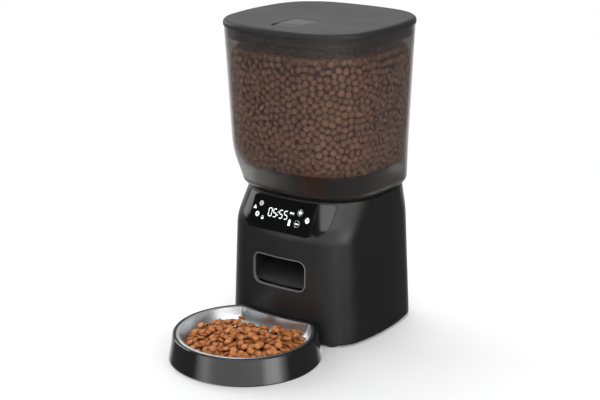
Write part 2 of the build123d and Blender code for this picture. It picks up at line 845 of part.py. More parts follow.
def gear_motor():
    body = rod(0, motor_y, gear_plate_z - 22, gear_plate_z, motor_case_r)
    body = fillet(body.edges().group_by(Axis.Z)[0], 1.5)
    body += rod(0, motor_y, gear_plate_z, gear_plate_top_z, 6.0)
    can = rod(0, motor_y, gear_plate_z - 54, gear_plate_z - 21, motor_can_r)
    body += fillet(can.edges().group_by(Axis.Z)[0], 2.0)
    body += rod(0, motor_y, gear_plate_z - 56, gear_plate_z - 54, 5.0)
    for x in (-9, 9):
        body += block(x - 0.4, x + 0.4, motor_y - 2, motor_y + 2, gear_plate_z - 59, gear_plate_z - 53)
    body -= rod(0, motor_y, gear_plate_z - 10.5, gear_plate_z + 5, motor_shaft_r + running_gap)
    for x in (-motor_screw_x, motor_screw_x):
        body -= rod(x, motor_y, gear_plate_z - 6, gear_plate_z + 1, screw_r + running_gap)
    return body


def motor_screws():
    places = (-motor_screw_x, motor_screw_x)
    return group([screw(x, motor_y, gear_plate_top_z, gear_plate_z - 5) for x in places])


def chute():
    inlet_back_y = outlet_back_y + 1.0
    inlet_front_y = rotor_y - well_r - 1.5
    past_y = -base_low_front - 7.0
    path = make_face(Polyline(
        (inlet_back_y, well_low_z), (inlet_back_y, well_low_z - 9.0), (past_y, chute_low_z - 4.0),
        (past_y, chute_high_z), (inlet_front_y - 11.0, chute_high_z + 1.0), (inlet_front_y, well_low_z),
        close=True,
    ))
    place = Plane(origin=(0, 0, 0), x_dir=(0, 1, 0), z_dir=(1, 0, 0))
    outer = offset(path, chute_wall, kind=Kind.INTERSECTION)
    walls = extrude(place * outer, chute_half_width + chute_wall, both=True)
    passage = extrude(place * path, chute_half_width, both=True)
    room = block(-base_low_width, base_low_width, past_y, rotor_y, base_low_z, well_low_z)
    inside = base_body(base_wall + 0.2) & room
    return (walls - passage) & inside


def chute_trim():
    skin = base_body(-trim_proud) - base_body(base_wall)
    ring = chute_sketch(trim_width) - chute_sketch()
    return skin & front_side(ring)


def display_bezel():
    skin = base_body(-bezel_proud) - base_body(bezel_sunk)
    bezel = skin & front_side(bezel_sketch())
    # Flat middle block, which stands further out at its ends as the skin falls away
    half_width = glass_half_width + block_ledge
    block_sketch = centred_sketch(half_width, bezel_low_z, bezel_high_z, block_corner)
    bezel += (slope_slab(-block_proud, 25.0) & front_side(block_sketch)) - base_body(bezel_sunk)
    grow = glue_gap / 2
    glass_hole = centred_sketch(
        glass_half_width + grow, glass_low_z - grow, glass_high_z + grow, glass_corner + grow,
    )
    seat = glass_below_rim + glass_thickness + glue_gap - block_proud
    bezel -= slope_slab(-block_proud - 5.0, seat) & front_side(glass_hole)
    return bezel - front_side(window_sketch(window_margin + 2.0))


def display_glass():
    front = glass_below_rim - block_proud
    pane = slope_slab(front, front + glass_thickness)
    return pane & front_side(centred_sketch(glass_half_width, glass_low_z, glass_high_z, glass_corner))


def display_board():
    outline_sketch = RectangleRounded(2 * (display_screw_x + 6), slope_length - 14.6, 2)
    board = extrude(slope_plane(display_board_depth) * outline_sketch, -board_thickness)
    for x in display_screw_places:
        hole = slope_plane(display_board_depth - 1, x) * Circle(small_screw_r + screw_clearance)
        board -= extrude(hole, -4)
    for x in (-30.0, 30.0):
        chip = slope_plane(display_board_depth + board_thickness, x) * Rectangle(8, 10)
        board += extrude(chip, -1.2)
    return board


def display_module():
    """Light bars of the clock, between the board and the glass."""
    width = 2 * (glass_half_width - window_margin - 9.0)
    return extrude(slope_plane(display_board_depth) * Rectangle(width, slope_length - 24.6), 8.4)


def display_screws():
    screws = []
    depth = display_board_depth + board_thickness
    for x in display_screw_places:
        head = extrude(slope_plane(depth, x) * Circle(2.0), -1.4)
        shank = extrude(slope_plane(depth, x) * Circle(small_screw_r), board_thickness + 3.5)
        screws.append(head + shank)
    return group(screws)


def main_board():
    low_z = board_low_z
    back_y = board_y + board_thickness
    board = block(-board_half_width, board_half_width, board_y, back_y, low_z, low_z + board_height)
    board += block(-18, -4, board_y - 1.6, board_y, low_z + 18, low_z + 32)
    board += block(6, 22, board_y - 6, board_y, low_z + 38, low_z + 45)
    for x in (-26.0, -20.0):
        board += Pos(x, board_y - 5, low_z + 12) * Rot(90, 0, 0) * Cylinder(2.5, 10)
    for x, z in main_board_places:
        board -= Pos(x, board_y, z) * Rot(90, 0, 0) * Cylinder(small_screw_r + screw_clearance, 8)
    return board


def board_screws():
    screws = []
    for x, z in main_board_places:
        head = Pos(x, board_y - 0.7, z) * Rot(90, 0, 0) * Cylinder(2.0, 1.4)
        shank = Pos(x, board_y + 2.6, z) * Rot(90, 0, 0) * Cylinder(small_screw_r, 5.2)
        screws.append(head + shank)
    return group(screws)


def power_jack():
    start_y = board_y + board_thickness
    wall_y = base_low_back - base_wall - 1.3
    body = block(jack_x - 5, jack_x + 5, start_y, wall_y - 1.8, jack_z - 6, jack_z + 5.5)
    nose = Pos(jack_x, wall_y, jack_z) * Rot(90, 0, 0) * Cylinder(jack_bore_r + jack_wall, 4.0)
    bore = Pos(jack_x, wall_y - 2.4, jack_z) * Rot(90, 0, 0) * Cylinder(jack_bore_r, 10)
    pin = Pos(jack_x, wall_y - 3.4, jack_z) * Rot(90, 0, 0) * Cylinder(1.0, 9)
    return body + nose - bore + pin


def tank_shell():
    outer = tank_body(0.0, tank_low_z + tank_edge, tank_top_z)
    outer += rounded_end(tank_section, tank_low_z, tank_edge, upward=False)
    inner_edge = tank_edge - tank_wall
    floor_top = tank_low_z + tank_floor
    hollow = tank_body(tank_wall, floor_top + inner_edge, tank_top_z + 2)
    hollow += rounded_end(tank_section, floor_top, inner_edge, upward=False, inset=tank_wall)
    shell = outer - hollow
    # Low foot that stands on the base and leaves a shadow gap at the seam
    foot_inset = tank_edge + 2.0
    foot = extrude(tank_section(tank_low_z, foot_inset, base_top_z), seam_gap + 0.5)
    foot -= extrude(tank_section(tank_low_z, foot_inset + tank_foot_wall, base_top_z - 1), seam_gap + 3)
    shell += foot
    shell += rod(0, rotor_y, collar_low_z, tank_low_z + 0.5, collar_r)
    shell -= rod(0, rotor_y, collar_low_z + 1.0, floor_top + 1, outlet_r)
    shell -= rod(0, rotor_y, collar_low_z - 1, collar_low_z + 2, outlet_r - 2)
    # Catch for the lid hook, on the inside of the front wall
    catch_y = tank_front_inside(hook_low_z) - catch_depth
    catch_half = hook_width / 2 + 3
    shell -= block(-catch_half, catch_half, catch_y, catch_y + 6, hook_low_z - 0.5, hook_low_z + 4)
    return shell


def tank_front_inside(z):
    """Middle of the inner face of the front wall, above the bend."""
    slope = (tank_top_front - tank_bend_front) / (tank_top_z - tank_bend_z)
    return tank_wall - tank_bend_front - slope * (z - tank_bend_z)


def hopper_funnel():
    """Sloping floor that leads the food to the outlet."""
    low_z = tank_low_z + tank_floor
    high_z = low_z + funnel_height

    def ring(radius, z):
        face = outline(radius, radius - rotor_y, radius + rotor_y, radius * 1.02, radius * 0.9)
        return Pos(0, 0, z) * face

    rim = tank_section(high_z, tank_wall + 1.0)
    rim_inner = tank_section(high_z, tank_wall + 1.0 + funnel_wall, high_z + 0.5)
    solid = loft([ring(outlet_r + 2.0, low_z), rim], ruled=True)
    return solid - loft([ring(outlet_r, low_z - 0.5), rim_inner], ruled=True)


def outlet_guard():
    """Shield above the way out, so that food only passes when the rotor turns."""
    low_z = collar_low_z + 1.0
    plate = rod(0, rotor_y, low_z, low_z + guard_thickness, outlet_r - 0.2)
    back_y = rotor_y - hub_r - guard_hub_gap
    return plate & block(-outlet_r, outlet_r, rotor_y - outlet_r, back_y, low_z - 1, low_z + 5)


def well_gasket():
    inner_r = well_r + gasket_gap
    ring = rod(0, rotor_y, base_top_z, tank_low_z, inner_r + gasket_width)
    return ring - rod(0, rotor_y, base_top_z - 1, tank_low_z + 1, inner_r)


def lid_outline(inset=0.0):
    return outline(
        tank_top_width + lid_overhang - inset,
        tank_top_front + lid_overhang - inset,
        tank_top_back + lid_overhang - inset,
        tank_bulge + lid_overhang - inset,
        tank_corner + lid_overhang - inset,
    )


def lever_opening(grow, low_z, high_z):
    half = lever_width / 2 + lever_gap + grow
    front = lever_front_y - lever_front_gap - grow
    return block(-half, half, front, lever_back_y + lever_gap + grow, low_z, high_z)


lid_screw_x = tank_top_width - lid_screw_inset
lid_screw_places = [
    (x, y) for x in (-lid_screw_x, lid_screw_x)
    for y in (lid_screw_inset + 18.3 - tank_top_front, tank_top_back - lid_screw_inset - 13.5)
]


def lid_cover():
    thickness = lid_top_z - tank_top_z
    cover = extrude(Pos(0, 0, tank_top_z) * lid_outline(), thickness)
    cover = fillet(cover.faces().sort_by(Axis.Z)[-1].edges(), lid_edge)
    cover -= extrude(Pos(0, 0, tank_top_z - 1) * lid_outline(lid_lip), thickness - lid_skin + 1)
    opening = lever_opening(0.0, tank_top_z - 1, lid_top_z + 1)
    cover -= fillet(opening.edges().filter_by(Axis.Z), 1.6)
    for x, y in lid_screw_places:
        cover -= rod(x, y, tank_top_z, lid_top_z - 1.0, screw_r + running_gap)
    return cover


def liner_section(inset, z):
    return tank_section(skirt_low_z, tank_wall + skirt_gap + inset, z)


def lid_liner():
    liner = extrude(Pos(0, 0, liner_low_z) * lid_outline(lid_lip + liner_gap), liner_plate)
    skirt = extrude(liner_section(0.0, skirt_low_z), liner_low_z - skirt_low_z)
    skirt -= extrude(liner_section(skirt_wall, skirt_low_z - 1), liner_low_z - skirt_low_z + 2)
    groove = extrude(liner_section(-1.0, seal_z), seal_height)
    groove -= extrude(liner_section(1.0, seal_z - 1), seal_height + 2)
    liner += skirt - groove
    # Box below the lever, with side holes for its pin and a way out for its hook
    liner += lever_opening(lever_gap + lever_box_wall, skirt_low_z, liner_low_z)
    liner -= lever_opening(lever_gap, skirt_low_z + lever_box_floor, lid_top_z)
    liner -= hook_passage(skirt_low_z - 1, hook_low_z + 5)
    liner -= cross_rod(pivot_y, pivot_z, lever_width, pivot_r + running_gap)
    for x, y in lid_screw_places:
        liner -= rod(x, y, liner_low_z - 1, liner_high_z + 1, screw_r + screw_clearance)
    return liner


def hook_passage(low_z, high_z):
    """Way for the hook through the skirt and the seal."""
    half = hook_width / 2 + 1.0
    return block(-half, half, -tank_top_front - 8, lever_front_y + 3, low_z, high_z)


def lid_seal():
    """Soft ring in the groove of the skirt."""
    outer = extrude(liner_section(seal_gap - skirt_gap, seal_z + 0.1), seal_height - 0.2)
    ring = outer - extrude(liner_section(1.0, seal_z - 1), seal_height + 2)
    return ring - hook_passage(seal_z - 1, seal_z + seal_height + 1)


def lid_screws():
    return group([screw(x, y, liner_low_z, lid_top_z - 1.2) for x, y in lid_screw_places])


def latch_lever():
    low_z = lever_low_z
    plate = side_prism([
        (lever_back_y, lever_top_z), (pivot_y, lever_top_z), (lever_front_y, lever_top_z - lever_dip),
        (lever_front_y, low_z - 1.4), (pivot_y, low_z), (lever_back_y, low_z),
    ], lever_width / 2)
    plate = fillet(plate.edges().filter_by(Axis.Z), 1.2)
    nose_y = tank_front_inside(hook_low_z) + hook_gap
    root_y = lever_front_y + hook_root
    hook_high_z = hook_low_z + hook_thickness
    hook = side_prism([
        (root_y + hook_thickness, low_z), (root_y, low_z), (root_y, hook_high_z),
        (nose_y + 3, hook_high_z), (nose_y, hook_high_z - 1.2),
        (nose_y, hook_low_z), (root_y + hook_thickness, hook_low_z),
    ], hook_width / 2)
    rib = side_prism([
        (pivot_y - 5, low_z + 0.5), (pivot_y - 3, pivot_z - 3),
        (pivot_y + 3, pivot_z - 3), (pivot_y + 5, low_z + 0.5),
    ], 1.6)
    lever = plate + hook
    for x in (3.0 - lever_width / 2, lever_width / 2 - 3.0):
        lever += Pos(x, 0, 0) * rib
    return lever - cross_rod(pivot_y, pivot_z, lever_width, pivot_r + running_gap)


def latch_pin():
    return cross_rod(pivot_y, pivot_z, lever_width / 2 + 2.4, pivot_r)


def latch_spring():
    """Leaf that stands on the floor of the box and bears on the lever."""
    floor_z = skirt_low_z + lever_box_floor
    tip_y = pivot_y - 8.6
    tip_z = lever_low_z - 1.4
    return side_prism([
        (pivot_y + 21, floor_z), (pivot_y + 1, floor_z),
        (tip_y, tip_z), (tip_y + spring_steel, tip_z + 0.3),
        (pivot_y + 1.2, floor_z + spring_steel), (pivot_y + 21, floor_z + spring_steel),
    ], 4.0)


def desiccant_box():
    cup = rod(0, desiccant_y, skirt_low_z + 1.0, liner_low_z, desiccant_r)
    inner_r = desiccant_r - desiccant_wall
    return cup - rod(0, desiccant_y, skirt_low_z, liner_low_z - desiccant_wall, inner_r)


def desiccant_cover():
    """Twist-off cover with slots that let the air through."""
    low_z = skirt_low_z - 0.8
    cover = rod(0, desiccant_y, low_z, skirt_low_z + 1.0, desiccant_r)
    cover += rod(0, desiccant_y, low_z, skirt_low_z + 4, desiccant_r - desiccant_wall - 0.3)
    cover -= rod(0, desiccant_y, skirt_low_z + 0.8, skirt_low_z + 5, desiccant_r - 2 * desiccant_wall - 0.3)
    for x in (-15.0, -9.0, 9.0, 15.0):
        near_y = desiccant_y - desiccant_r + 15.0
        far_y = desiccant_y + desiccant_r - 15.0
        cover -= block(x - 1.2, x + 1.2, near_y, far_y, low_z - 1, skirt_low_z + 3)
    grip = desiccant_r - 11.0
    cover += block(-2, 2, desiccant_y - grip, desiccant_y + grip, low_z - 3, low_z + 1)
    return cover


def dish_outline(radius):
    """Round outline whose back follows the bulged front of the base."""
    inward = tray_rim_r - radius
    back_y = -base_low_front - tray_gap - inward
    back_r = base_bulge + inward
    face = Pos(0, tray_y) * Circle(radius) - Pos(0, back_y + back_r) * Circle(back_r)
    return fillet(face.vertices(), bowl_corner)


def dish_body(levels):
    return loft([Pos(0, 0, z) * dish_outline(radius) for radius, z in levels], ruled=len(levels) == 2)


# Rounded wall of the bowl: reach inward from its mouth, and rise above its floor
bowl_wall_steps = ((23.0, 0.0), (16.5, 1.0), (10.8, 3.6), (6.3, 7.8), (2.8, 13.8))
bowl_levels = [(bowl_mouth_r - inward, bowl_floor_z + rise) for inward, rise in bowl_wall_steps]
bowl_levels.append((bowl_mouth_r, bowl_seat_z + bowl_lip_thickness))


def steel_bowl():
    outside = dish_body(bowl_levels)
    inside = dish_body([(radius - bowl_steel, z + bowl_steel) for radius, z in bowl_levels])
    lip = extrude(Pos(0, 0, bowl_seat_z) * dish_outline(bowl_lip_r), bowl_lip_thickness)
    lip = fillet(lip.faces().sort_by(Axis.Z)[-1].edges(), bowl_lip_thickness - 0.2)
    bowl = outside + lip - inside
    inner_r = bowl_mouth_r - bowl_steel
    return bowl - extrude(Pos(0, 0, bowl_seat_z + bowl_steel) * dish_outline(inner_r), 3)


def feeding_tray():
    profile = make_face(Polyline(
        (0, 0), (tray_foot_r - 1.2, 0), (tray_foot_r, 1.6), (tray_rim_r, tray_height - 1.0),
        (tray_rim_r - 0.9, tray_height), (0, tray_height), close=True,
    ))
    body = Pos(0, tray_y, 0) * revolve(Plane.XZ * profile, Axis.Z)
    body -= base_body(-tray_gap, low_z=-5)
    floor_z = bowl_floor_z - 1.5
    low_r = bowl_mouth_r - 8.5
    high_r = bowl_mouth_r + 1.3
    pocket = dish_body(((low_r, floor_z), (high_r, bowl_seat_z)))
    pocket += extrude(Pos(0, 0, bowl_seat_z) * dish_outline(bowl_lip_r + bowl_gap), 5)
    body -= pocket
    # Hollow underside behind the outer wall
    hollow_height = tray_height - 4.0
    hollow = Cone(tray_foot_r - tray_wall, tray_rim_r - tray_wall + 0.7, hollow_height)
    under = Pos(0, tray_y, hollow_height / 2 - 1.0) * hollow
    under -= dish_body(((low_r + tray_wall, floor_z - 2.5), (high_r + tray_wall, bowl_seat_z)))
    under -= base_body(-tray_gap - tray_wall, low_z=-5)
    body -= under
    tab_front_y = -base_low_front - 3.5
    for x in tab_places:
        half = tab_width / 2
        body += block(x - half, x + half, tab_front_y, tab_reach - base_low_front, tab_low_z, tab_high_z)
    return body


pieces = {
    "base_shell": base_shell,
    "bottom_plate": bottom_plate,
    "battery_door": battery_door,
    "battery_bay": battery_bay,
    "battery_contacts": battery_contacts,
    "rubber_feet": rubber_feet,
    "bottom_screws": bottom_screws,
    "dispenser_well": dispenser_well,
    "well_screws": well_screws,
    "rotor_bush": rotor_bush,
    "rotor": rotor,
    "rotor_blades": rotor_blades,
    "rotor_shaft": rotor_shaft,
    "drive_gear": drive_gear,
    "motor_pinion": motor_pinion,
    "motor_shaft": motor_shaft,
    "gear_plate": gear_plate,
    "gear_screws": gear_screws,
    "gear_motor": gear_motor,
    "motor_screws": motor_screws,
    "chute": chute,
    "chute_trim": chute_trim,
    "display_bezel": display_bezel,
    "display_glass": display_glass,
    "display_board": display_board,
    "display_module": display_module,
    "display_screws": display_screws,
    "main_board": main_board,
    "board_screws": board_screws,
    "power_jack": power_jack,
    "tank_shell": tank_shell,
    "hopper_funnel": hopper_funnel,
    "outlet_guard": outlet_guard,
    "well_gasket": well_gasket,
    "lid_cover": lid_cover,
    "lid_liner": lid_liner,
    "lid_seal": lid_seal,
    "lid_screws": lid_screws,
    "latch_lever": latch_lever,
    "latch_pin": latch_pin,
    "latch_spring": latch_spring,
    "desiccant_box": desiccant_box,
    "desiccant_cover": desiccant_cover,
    "feeding_tray": feeding_tray,
    "steel_bowl": steel_bowl,
}

for name, make in pieces.items():
    placed = [Pos(0, origin_shift, 0) * solid for solid in make().solids()]
    piece = placed[0] if len(placed) == 1 else Compound(placed)
    export_step(piece, f"parts/{name}.step")
    print(name, len(placed), "solids", round(piece.volume), "mm3", piece.bounding_box().size)
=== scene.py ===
import math
import random
import bmesh
import bpy
import numpy as np
from mathutils import Euler, Matrix, Vector
from mathutils.bvhtree import BVHTree


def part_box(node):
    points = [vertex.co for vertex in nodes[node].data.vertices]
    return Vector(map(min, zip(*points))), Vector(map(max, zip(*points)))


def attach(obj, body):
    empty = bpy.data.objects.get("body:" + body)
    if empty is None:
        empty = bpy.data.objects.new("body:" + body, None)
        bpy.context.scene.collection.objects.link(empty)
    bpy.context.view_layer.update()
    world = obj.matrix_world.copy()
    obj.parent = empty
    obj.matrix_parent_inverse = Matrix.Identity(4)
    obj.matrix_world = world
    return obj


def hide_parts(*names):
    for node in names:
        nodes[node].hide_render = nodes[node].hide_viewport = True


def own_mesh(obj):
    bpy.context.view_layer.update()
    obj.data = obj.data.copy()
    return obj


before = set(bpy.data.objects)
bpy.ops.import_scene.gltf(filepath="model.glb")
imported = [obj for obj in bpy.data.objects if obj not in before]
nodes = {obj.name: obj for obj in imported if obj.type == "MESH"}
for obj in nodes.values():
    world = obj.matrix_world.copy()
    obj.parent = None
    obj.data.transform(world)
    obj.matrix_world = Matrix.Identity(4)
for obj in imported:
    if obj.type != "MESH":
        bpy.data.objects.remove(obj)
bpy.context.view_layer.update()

scene = bpy.context.scene
mm = 0.001
print("frame loaded:", len(nodes), "nodes")

# shader helpers
noiseSpread = (0.3, 0.7)  # where most of a noise lies


def linear(value):
    return value / 12.92 if value <= 0.04045 else ((value + 0.055) / 1.055) ** 2.4


def rgb(red, green, blue):
    # 0-255 screen values to a linear colour
    return (linear(red / 255), linear(green / 255), linear(blue / 255), 1.0)


def addNode(tree, kind, **values):
    node = tree.nodes.new(kind)
    for key, value in values.items():
        setattr(node, key, value)
    return node


def link(tree, source, target):
    tree.links.new(source, target)


def feed(tree, value, socket):
    # a number or a colour is set, an output is linked
    if isinstance(value, (int, float, tuple)):
        socket.default_value = value
    else:
        link(tree, value, socket)


def newGroup(name, inputs, outputs):
    tree = bpy.data.node_groups.new(name, "ShaderNodeTree")
    for label, kind, default in inputs:
        socket = tree.interface.new_socket(name=label, in_out="INPUT", socket_type=kind)
        socket.default_value = default
    for label, kind in outputs:
        tree.interface.new_socket(name=label, in_out="OUTPUT", socket_type=kind)
    return tree, addNode(tree, "NodeGroupInput"), addNode(tree, "NodeGroupOutput")


def mathNode(tree, operation, first, second=None, clamp=False):
    node = addNode(tree, "ShaderNodeMath", operation=operation, use_clamp=clamp)
    feed(tree, first, node.inputs[0])
    if second is not None:
        feed(tree, second, node.inputs[1])
    return node.outputs[0]


def noiseNode(tree, vector, scale, detail=2.0, rough=0.5):
    node = addNode(tree, "ShaderNodeTexNoise")
    link(tree, vector, node.inputs["Vector"])
    feed(tree, scale, node.inputs["Scale"])
    node.inputs["Detail"].default_value = detail
    node.inputs["Roughness"].default_value = rough
    return node.outputs["Fac"]


def rangeNode(tree, value, low, high, newLow, newHigh):
    node = addNode(tree, "ShaderNodeMapRange")
    link(tree, value, node.inputs["Value"])
    for label, number in (("From Min", low), ("From Max", high), ("To Min", newLow), ("To Max", newHigh)):
        feed(tree, number, node.inputs[label])
    return node.outputs["Result"]


def scaleColor(tree, color, factor):
    node = addNode(tree, "ShaderNodeVectorMath", operation="SCALE")
    feed(tree, color[:3] if isinstance(color, tuple) else color, node.inputs[0])
    link(tree, factor, node.inputs["Scale"])
    return node.outputs["Vector"]


def mixColor(tree, factor, first, second):
    node = addNode(tree, "ShaderNodeMix", data_type="RGBA")
    link(tree, factor, node.inputs["Factor"])
    feed(tree, first, node.inputs[6])  # sockets A and B of a colour mix
    feed(tree, second, node.inputs[7])
    return node.outputs[2]


def mouldedGrainGroup():
    # fine spark-eroded grain, with slow changes of tone and gloss
    tree, inlet, outlet = newGroup("mouldedGrain", [
        ("Color", "NodeSocketColor", (0.1, 0.1, 0.1, 1)), ("Tone Change", "NodeSocketFloat", 0.1),
        ("Grain Scale", "NodeSocketFloat", 900.0), ("Roughness", "NodeSocketFloat", 0.4),
        ("Gloss Change", "NodeSocketFloat", 0.05),
    ], [("Color", "NodeSocketColor"), ("Roughness", "NodeSocketFloat"), ("Height", "NodeSocketFloat")])
    place = addNode(tree, "ShaderNodeTexCoord").outputs["Object"]
    fine = noiseNode(tree, place, inlet.outputs["Grain Scale"], detail=3.0, rough=0.6)
    slow = noiseNode(tree, place, scale=14.0, detail=3.0, rough=0.55)
    half = mathNode(tree, "MULTIPLY", inlet.outputs["Tone Change"], 0.5)
    low = mathNode(tree, "SUBTRACT", 1.0, half)
    high = mathNode(tree, "ADD", 1.0, half)
    shade = rangeNode(tree, slow, *noiseSpread, low, high)
    link(tree, scaleColor(tree, inlet.outputs["Color"], shade), outlet.inputs["Color"])
    lean = rangeNode(tree, slow, *noiseSpread, -1.0, 1.0)
    change = mathNode(tree, "MULTIPLY", lean, inlet.outputs["Gloss Change"])
    gloss = mathNode(tree, "ADD", inlet.outputs["Roughness"], change, clamp=True)
    link(tree, gloss, outlet.inputs["Roughness"])
    link(tree, fine, outlet.inputs["Height"])
    return tree


def spunLinesGroup():
    # hair lines that run round an upright axis
    turnShare = 0.004  # how little the lines change along their way
    tree, inlet, outlet = newGroup("spunLines", [
        ("Axis", "NodeSocketVector", (0, 0, 0)), ("Color", "NodeSocketColor", (0.7, 0.7, 0.7, 1)),
        ("Roughness", "NodeSocketFloat", 0.2), ("Lines", "NodeSocketFloat", 1400.0),
    ], [("Color", "NodeSocketColor"), ("Roughness", "NodeSocketFloat"), ("Height", "NodeSocketFloat")])
    place = addNode(tree, "ShaderNodeTexCoord").outputs["Object"]
    shift = addNode(tree, "ShaderNodeVectorMath", operation="SUBTRACT")
    link(tree, place, shift.inputs[0])
    link(tree, inlet.outputs["Axis"], shift.inputs[1])
    parts = addNode(tree, "ShaderNodeSeparateXYZ")
    link(tree, shift.outputs["Vector"], parts.inputs[0])
    square = mathNode(tree, "ADD", mathNode(tree, "POWER", parts.outputs["X"], 2.0),
                      mathNode(tree, "POWER", parts.outputs["Y"], 2.0))
    joined = addNode(tree, "ShaderNodeCombineXYZ")
    link(tree, mathNode(tree, "SQRT", square), joined.inputs["X"])
    link(tree, parts.outputs["Z"], joined.inputs["Z"])
    turn = mathNode(tree, "ARCTAN2", parts.outputs["Y"], parts.outputs["X"])
    link(tree, mathNode(tree, "MULTIPLY", turn, turnShare), joined.inputs["Y"])
    lines = noiseNode(tree, joined.outputs[0], inlet.outputs["Lines"], detail=2.0, rough=0.6)
    slow = noiseNode(tree, place, scale=30.0, detail=2.0, rough=0.5)
    shade = rangeNode(tree, lines, *noiseSpread, 0.9, 1.06)
    link(tree, scaleColor(tree, inlet.outputs["Color"], shade), outlet.inputs["Color"])
    change = mathNode(tree, "ADD", rangeNode(tree, lines, *noiseSpread, -0.04, 0.04),
                      rangeNode(tree, slow, *noiseSpread, -0.03, 0.03))
    gloss = mathNode(tree, "ADD", inlet.outputs["Roughness"], change, clamp=True)
    link(tree, gloss, outlet.inputs["Roughness"])
    link(tree, lines, outlet.inputs["Height"])
    return tree


def bakedCrustGroup():
    # baked food: each piece has its own tone plus painted shade towards its rim, with darker pits
    toneShare, blotchShare = 0.62, 0.38
    tree, inlet, outlet = newGroup("bakedCrust", [
        ("Light Color", "NodeSocketColor", (0.5, 0.25, 0.1, 1)),
        ("Dark Color", "NodeSocketColor", (0.2, 0.08, 0.03, 1)),
    ], [("Color", "NodeSocketColor"), ("Roughness", "NodeSocketFloat"), ("Height", "NodeSocketFloat")])
    place = addNode(tree, "ShaderNodeTexCoord").outputs["Object"]
    tone = addNode(tree, "ShaderNodeAttribute", attribute_name="tone").outputs["Fac"]
    pits = noiseNode(tree, place, scale=620.0, detail=4.0, rough=0.65)
    blotch = noiseNode(tree, place, scale=190.0, detail=2.0, rough=0.5)
    patches = rangeNode(tree, blotch, *noiseSpread, 0.0, 1.0)
    amount = mathNode(tree, "ADD", mathNode(tree, "MULTIPLY", tone, toneShare),
                      mathNode(tree, "MULTIPLY", patches, blotchShare), clamp=True)
    baked = mixColor(tree, amount, inlet.outputs["Light Color"], inlet.outputs["Dark Color"])
    shade = rangeNode(tree, pits, 0.3, 0.62, 0.62, 1.08)
    link(tree, scaleColor(tree, baked, shade), outlet.inputs["Color"])
    link(tree, rangeNode(tree, pits, *noiseSpread, 0.8, 0.5), outlet.inputs["Roughness"])
    link(tree, pits, outlet.inputs["Height"])
    return tree


mouldedGrain = mouldedGrainGroup()
spunLines = spunLinesGroup()
bakedCrust = bakedCrustGroup()
reliefDepth = {"plastic": 0.0003, "metal": 0.0002, "crust": 0.0007}  # metres


def newMaterial(name):
    material = bpy.data.materials.new(name)
    material.use_nodes = True
    tree = material.node_tree
    return material, tree, tree.nodes["Principled BSDF"]


def addBump(tree, height, shader, strength, distance):
    bump = addNode(tree, "ShaderNodeBump")
    bump.inputs["Strength"].default_value = strength
    bump.inputs["Distance"].default_value = distance
    link(tree, height, bump.inputs["Height"])
    link(tree, bump.outputs["Normal"], shader.inputs["Normal"])


def placeGroup(tree, group, values):
    node = addNode(tree, "ShaderNodeGroup", node_tree=group)
    for label, value in values.items():
        node.inputs[label].default_value = value
    return node


def surfaceFrom(tree, group, shader, strength, distance):
    # colour, gloss and fine relief of a group on a shader
    link(tree, group.outputs["Color"], shader.inputs["Base Color"])
    link(tree, group.outputs["Roughness"], shader.inputs["Roughness"])
    addBump(tree, group.outputs["Height"], shader, strength, distance)


def plastic(name, color, rough, grain=0.25, scale=900.0, tone=0.1, gloss=0.04, sockets=None):
    material, tree, shader = newMaterial(name)
    group = placeGroup(tree, mouldedGrain, {"Color": color, "Tone Change": tone, "Grain Scale": scale,
                                            "Roughness": rough, "Gloss Change": gloss})
    surfaceFrom(tree, group, shader, grain, reliefDepth["plastic"])
    for label, value in (sockets or {}).items():
        shader.inputs[label].default_value = value
    return material


def metal(name, color, rough, axis=(0, 0, 0), lines=1400.0, bump=0.05):
    material, tree, shader = newMaterial(name)
    group = placeGroup(tree, spunLines, {"Axis": axis, "Color": color, "Roughness": rough, "Lines": lines})
    surfaceFrom(tree, group, shader, bump, reliefDepth["metal"])
    shader.inputs["Metallic"].default_value = 1.0
    return material


def crust(name, light, dark, bump=0.55, specular=0.35):
    material, tree, shader = newMaterial(name)
    group = placeGroup(tree, bakedCrust, {"Light Color": light, "Dark Color": dark})
    surfaceFrom(tree, group, shader, bump, reliefDepth["crust"])
    shader.inputs["Specular IOR Level"].default_value = specular
    return material


def glow(name, color, strength):
    material, tree, shader = newMaterial(name)
    shader.inputs["Base Color"].default_value = (0.8, 0.8, 0.8, 1)
    shader.inputs["Emission Strength"].default_value = strength
    place = addNode(tree, "ShaderNodeTexCoord").outputs["Object"]
    cells = noiseNode(tree, place, scale=900.0, detail=1.0)
    light = scaleColor(tree, color, rangeNode(tree, cells, *noiseSpread, 0.93, 1.0))
    link(tree, light, shader.inputs["Emission Color"])
    return material


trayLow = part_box("feeding_tray")[0]
trayRadius = 0.086
dishAxis = (0.0, trayLow.y + trayRadius, 0.0)  # the tray is round about this upright axis
motorAxis = (0, 0.1074, 0)
black = rgb(26, 26, 27)

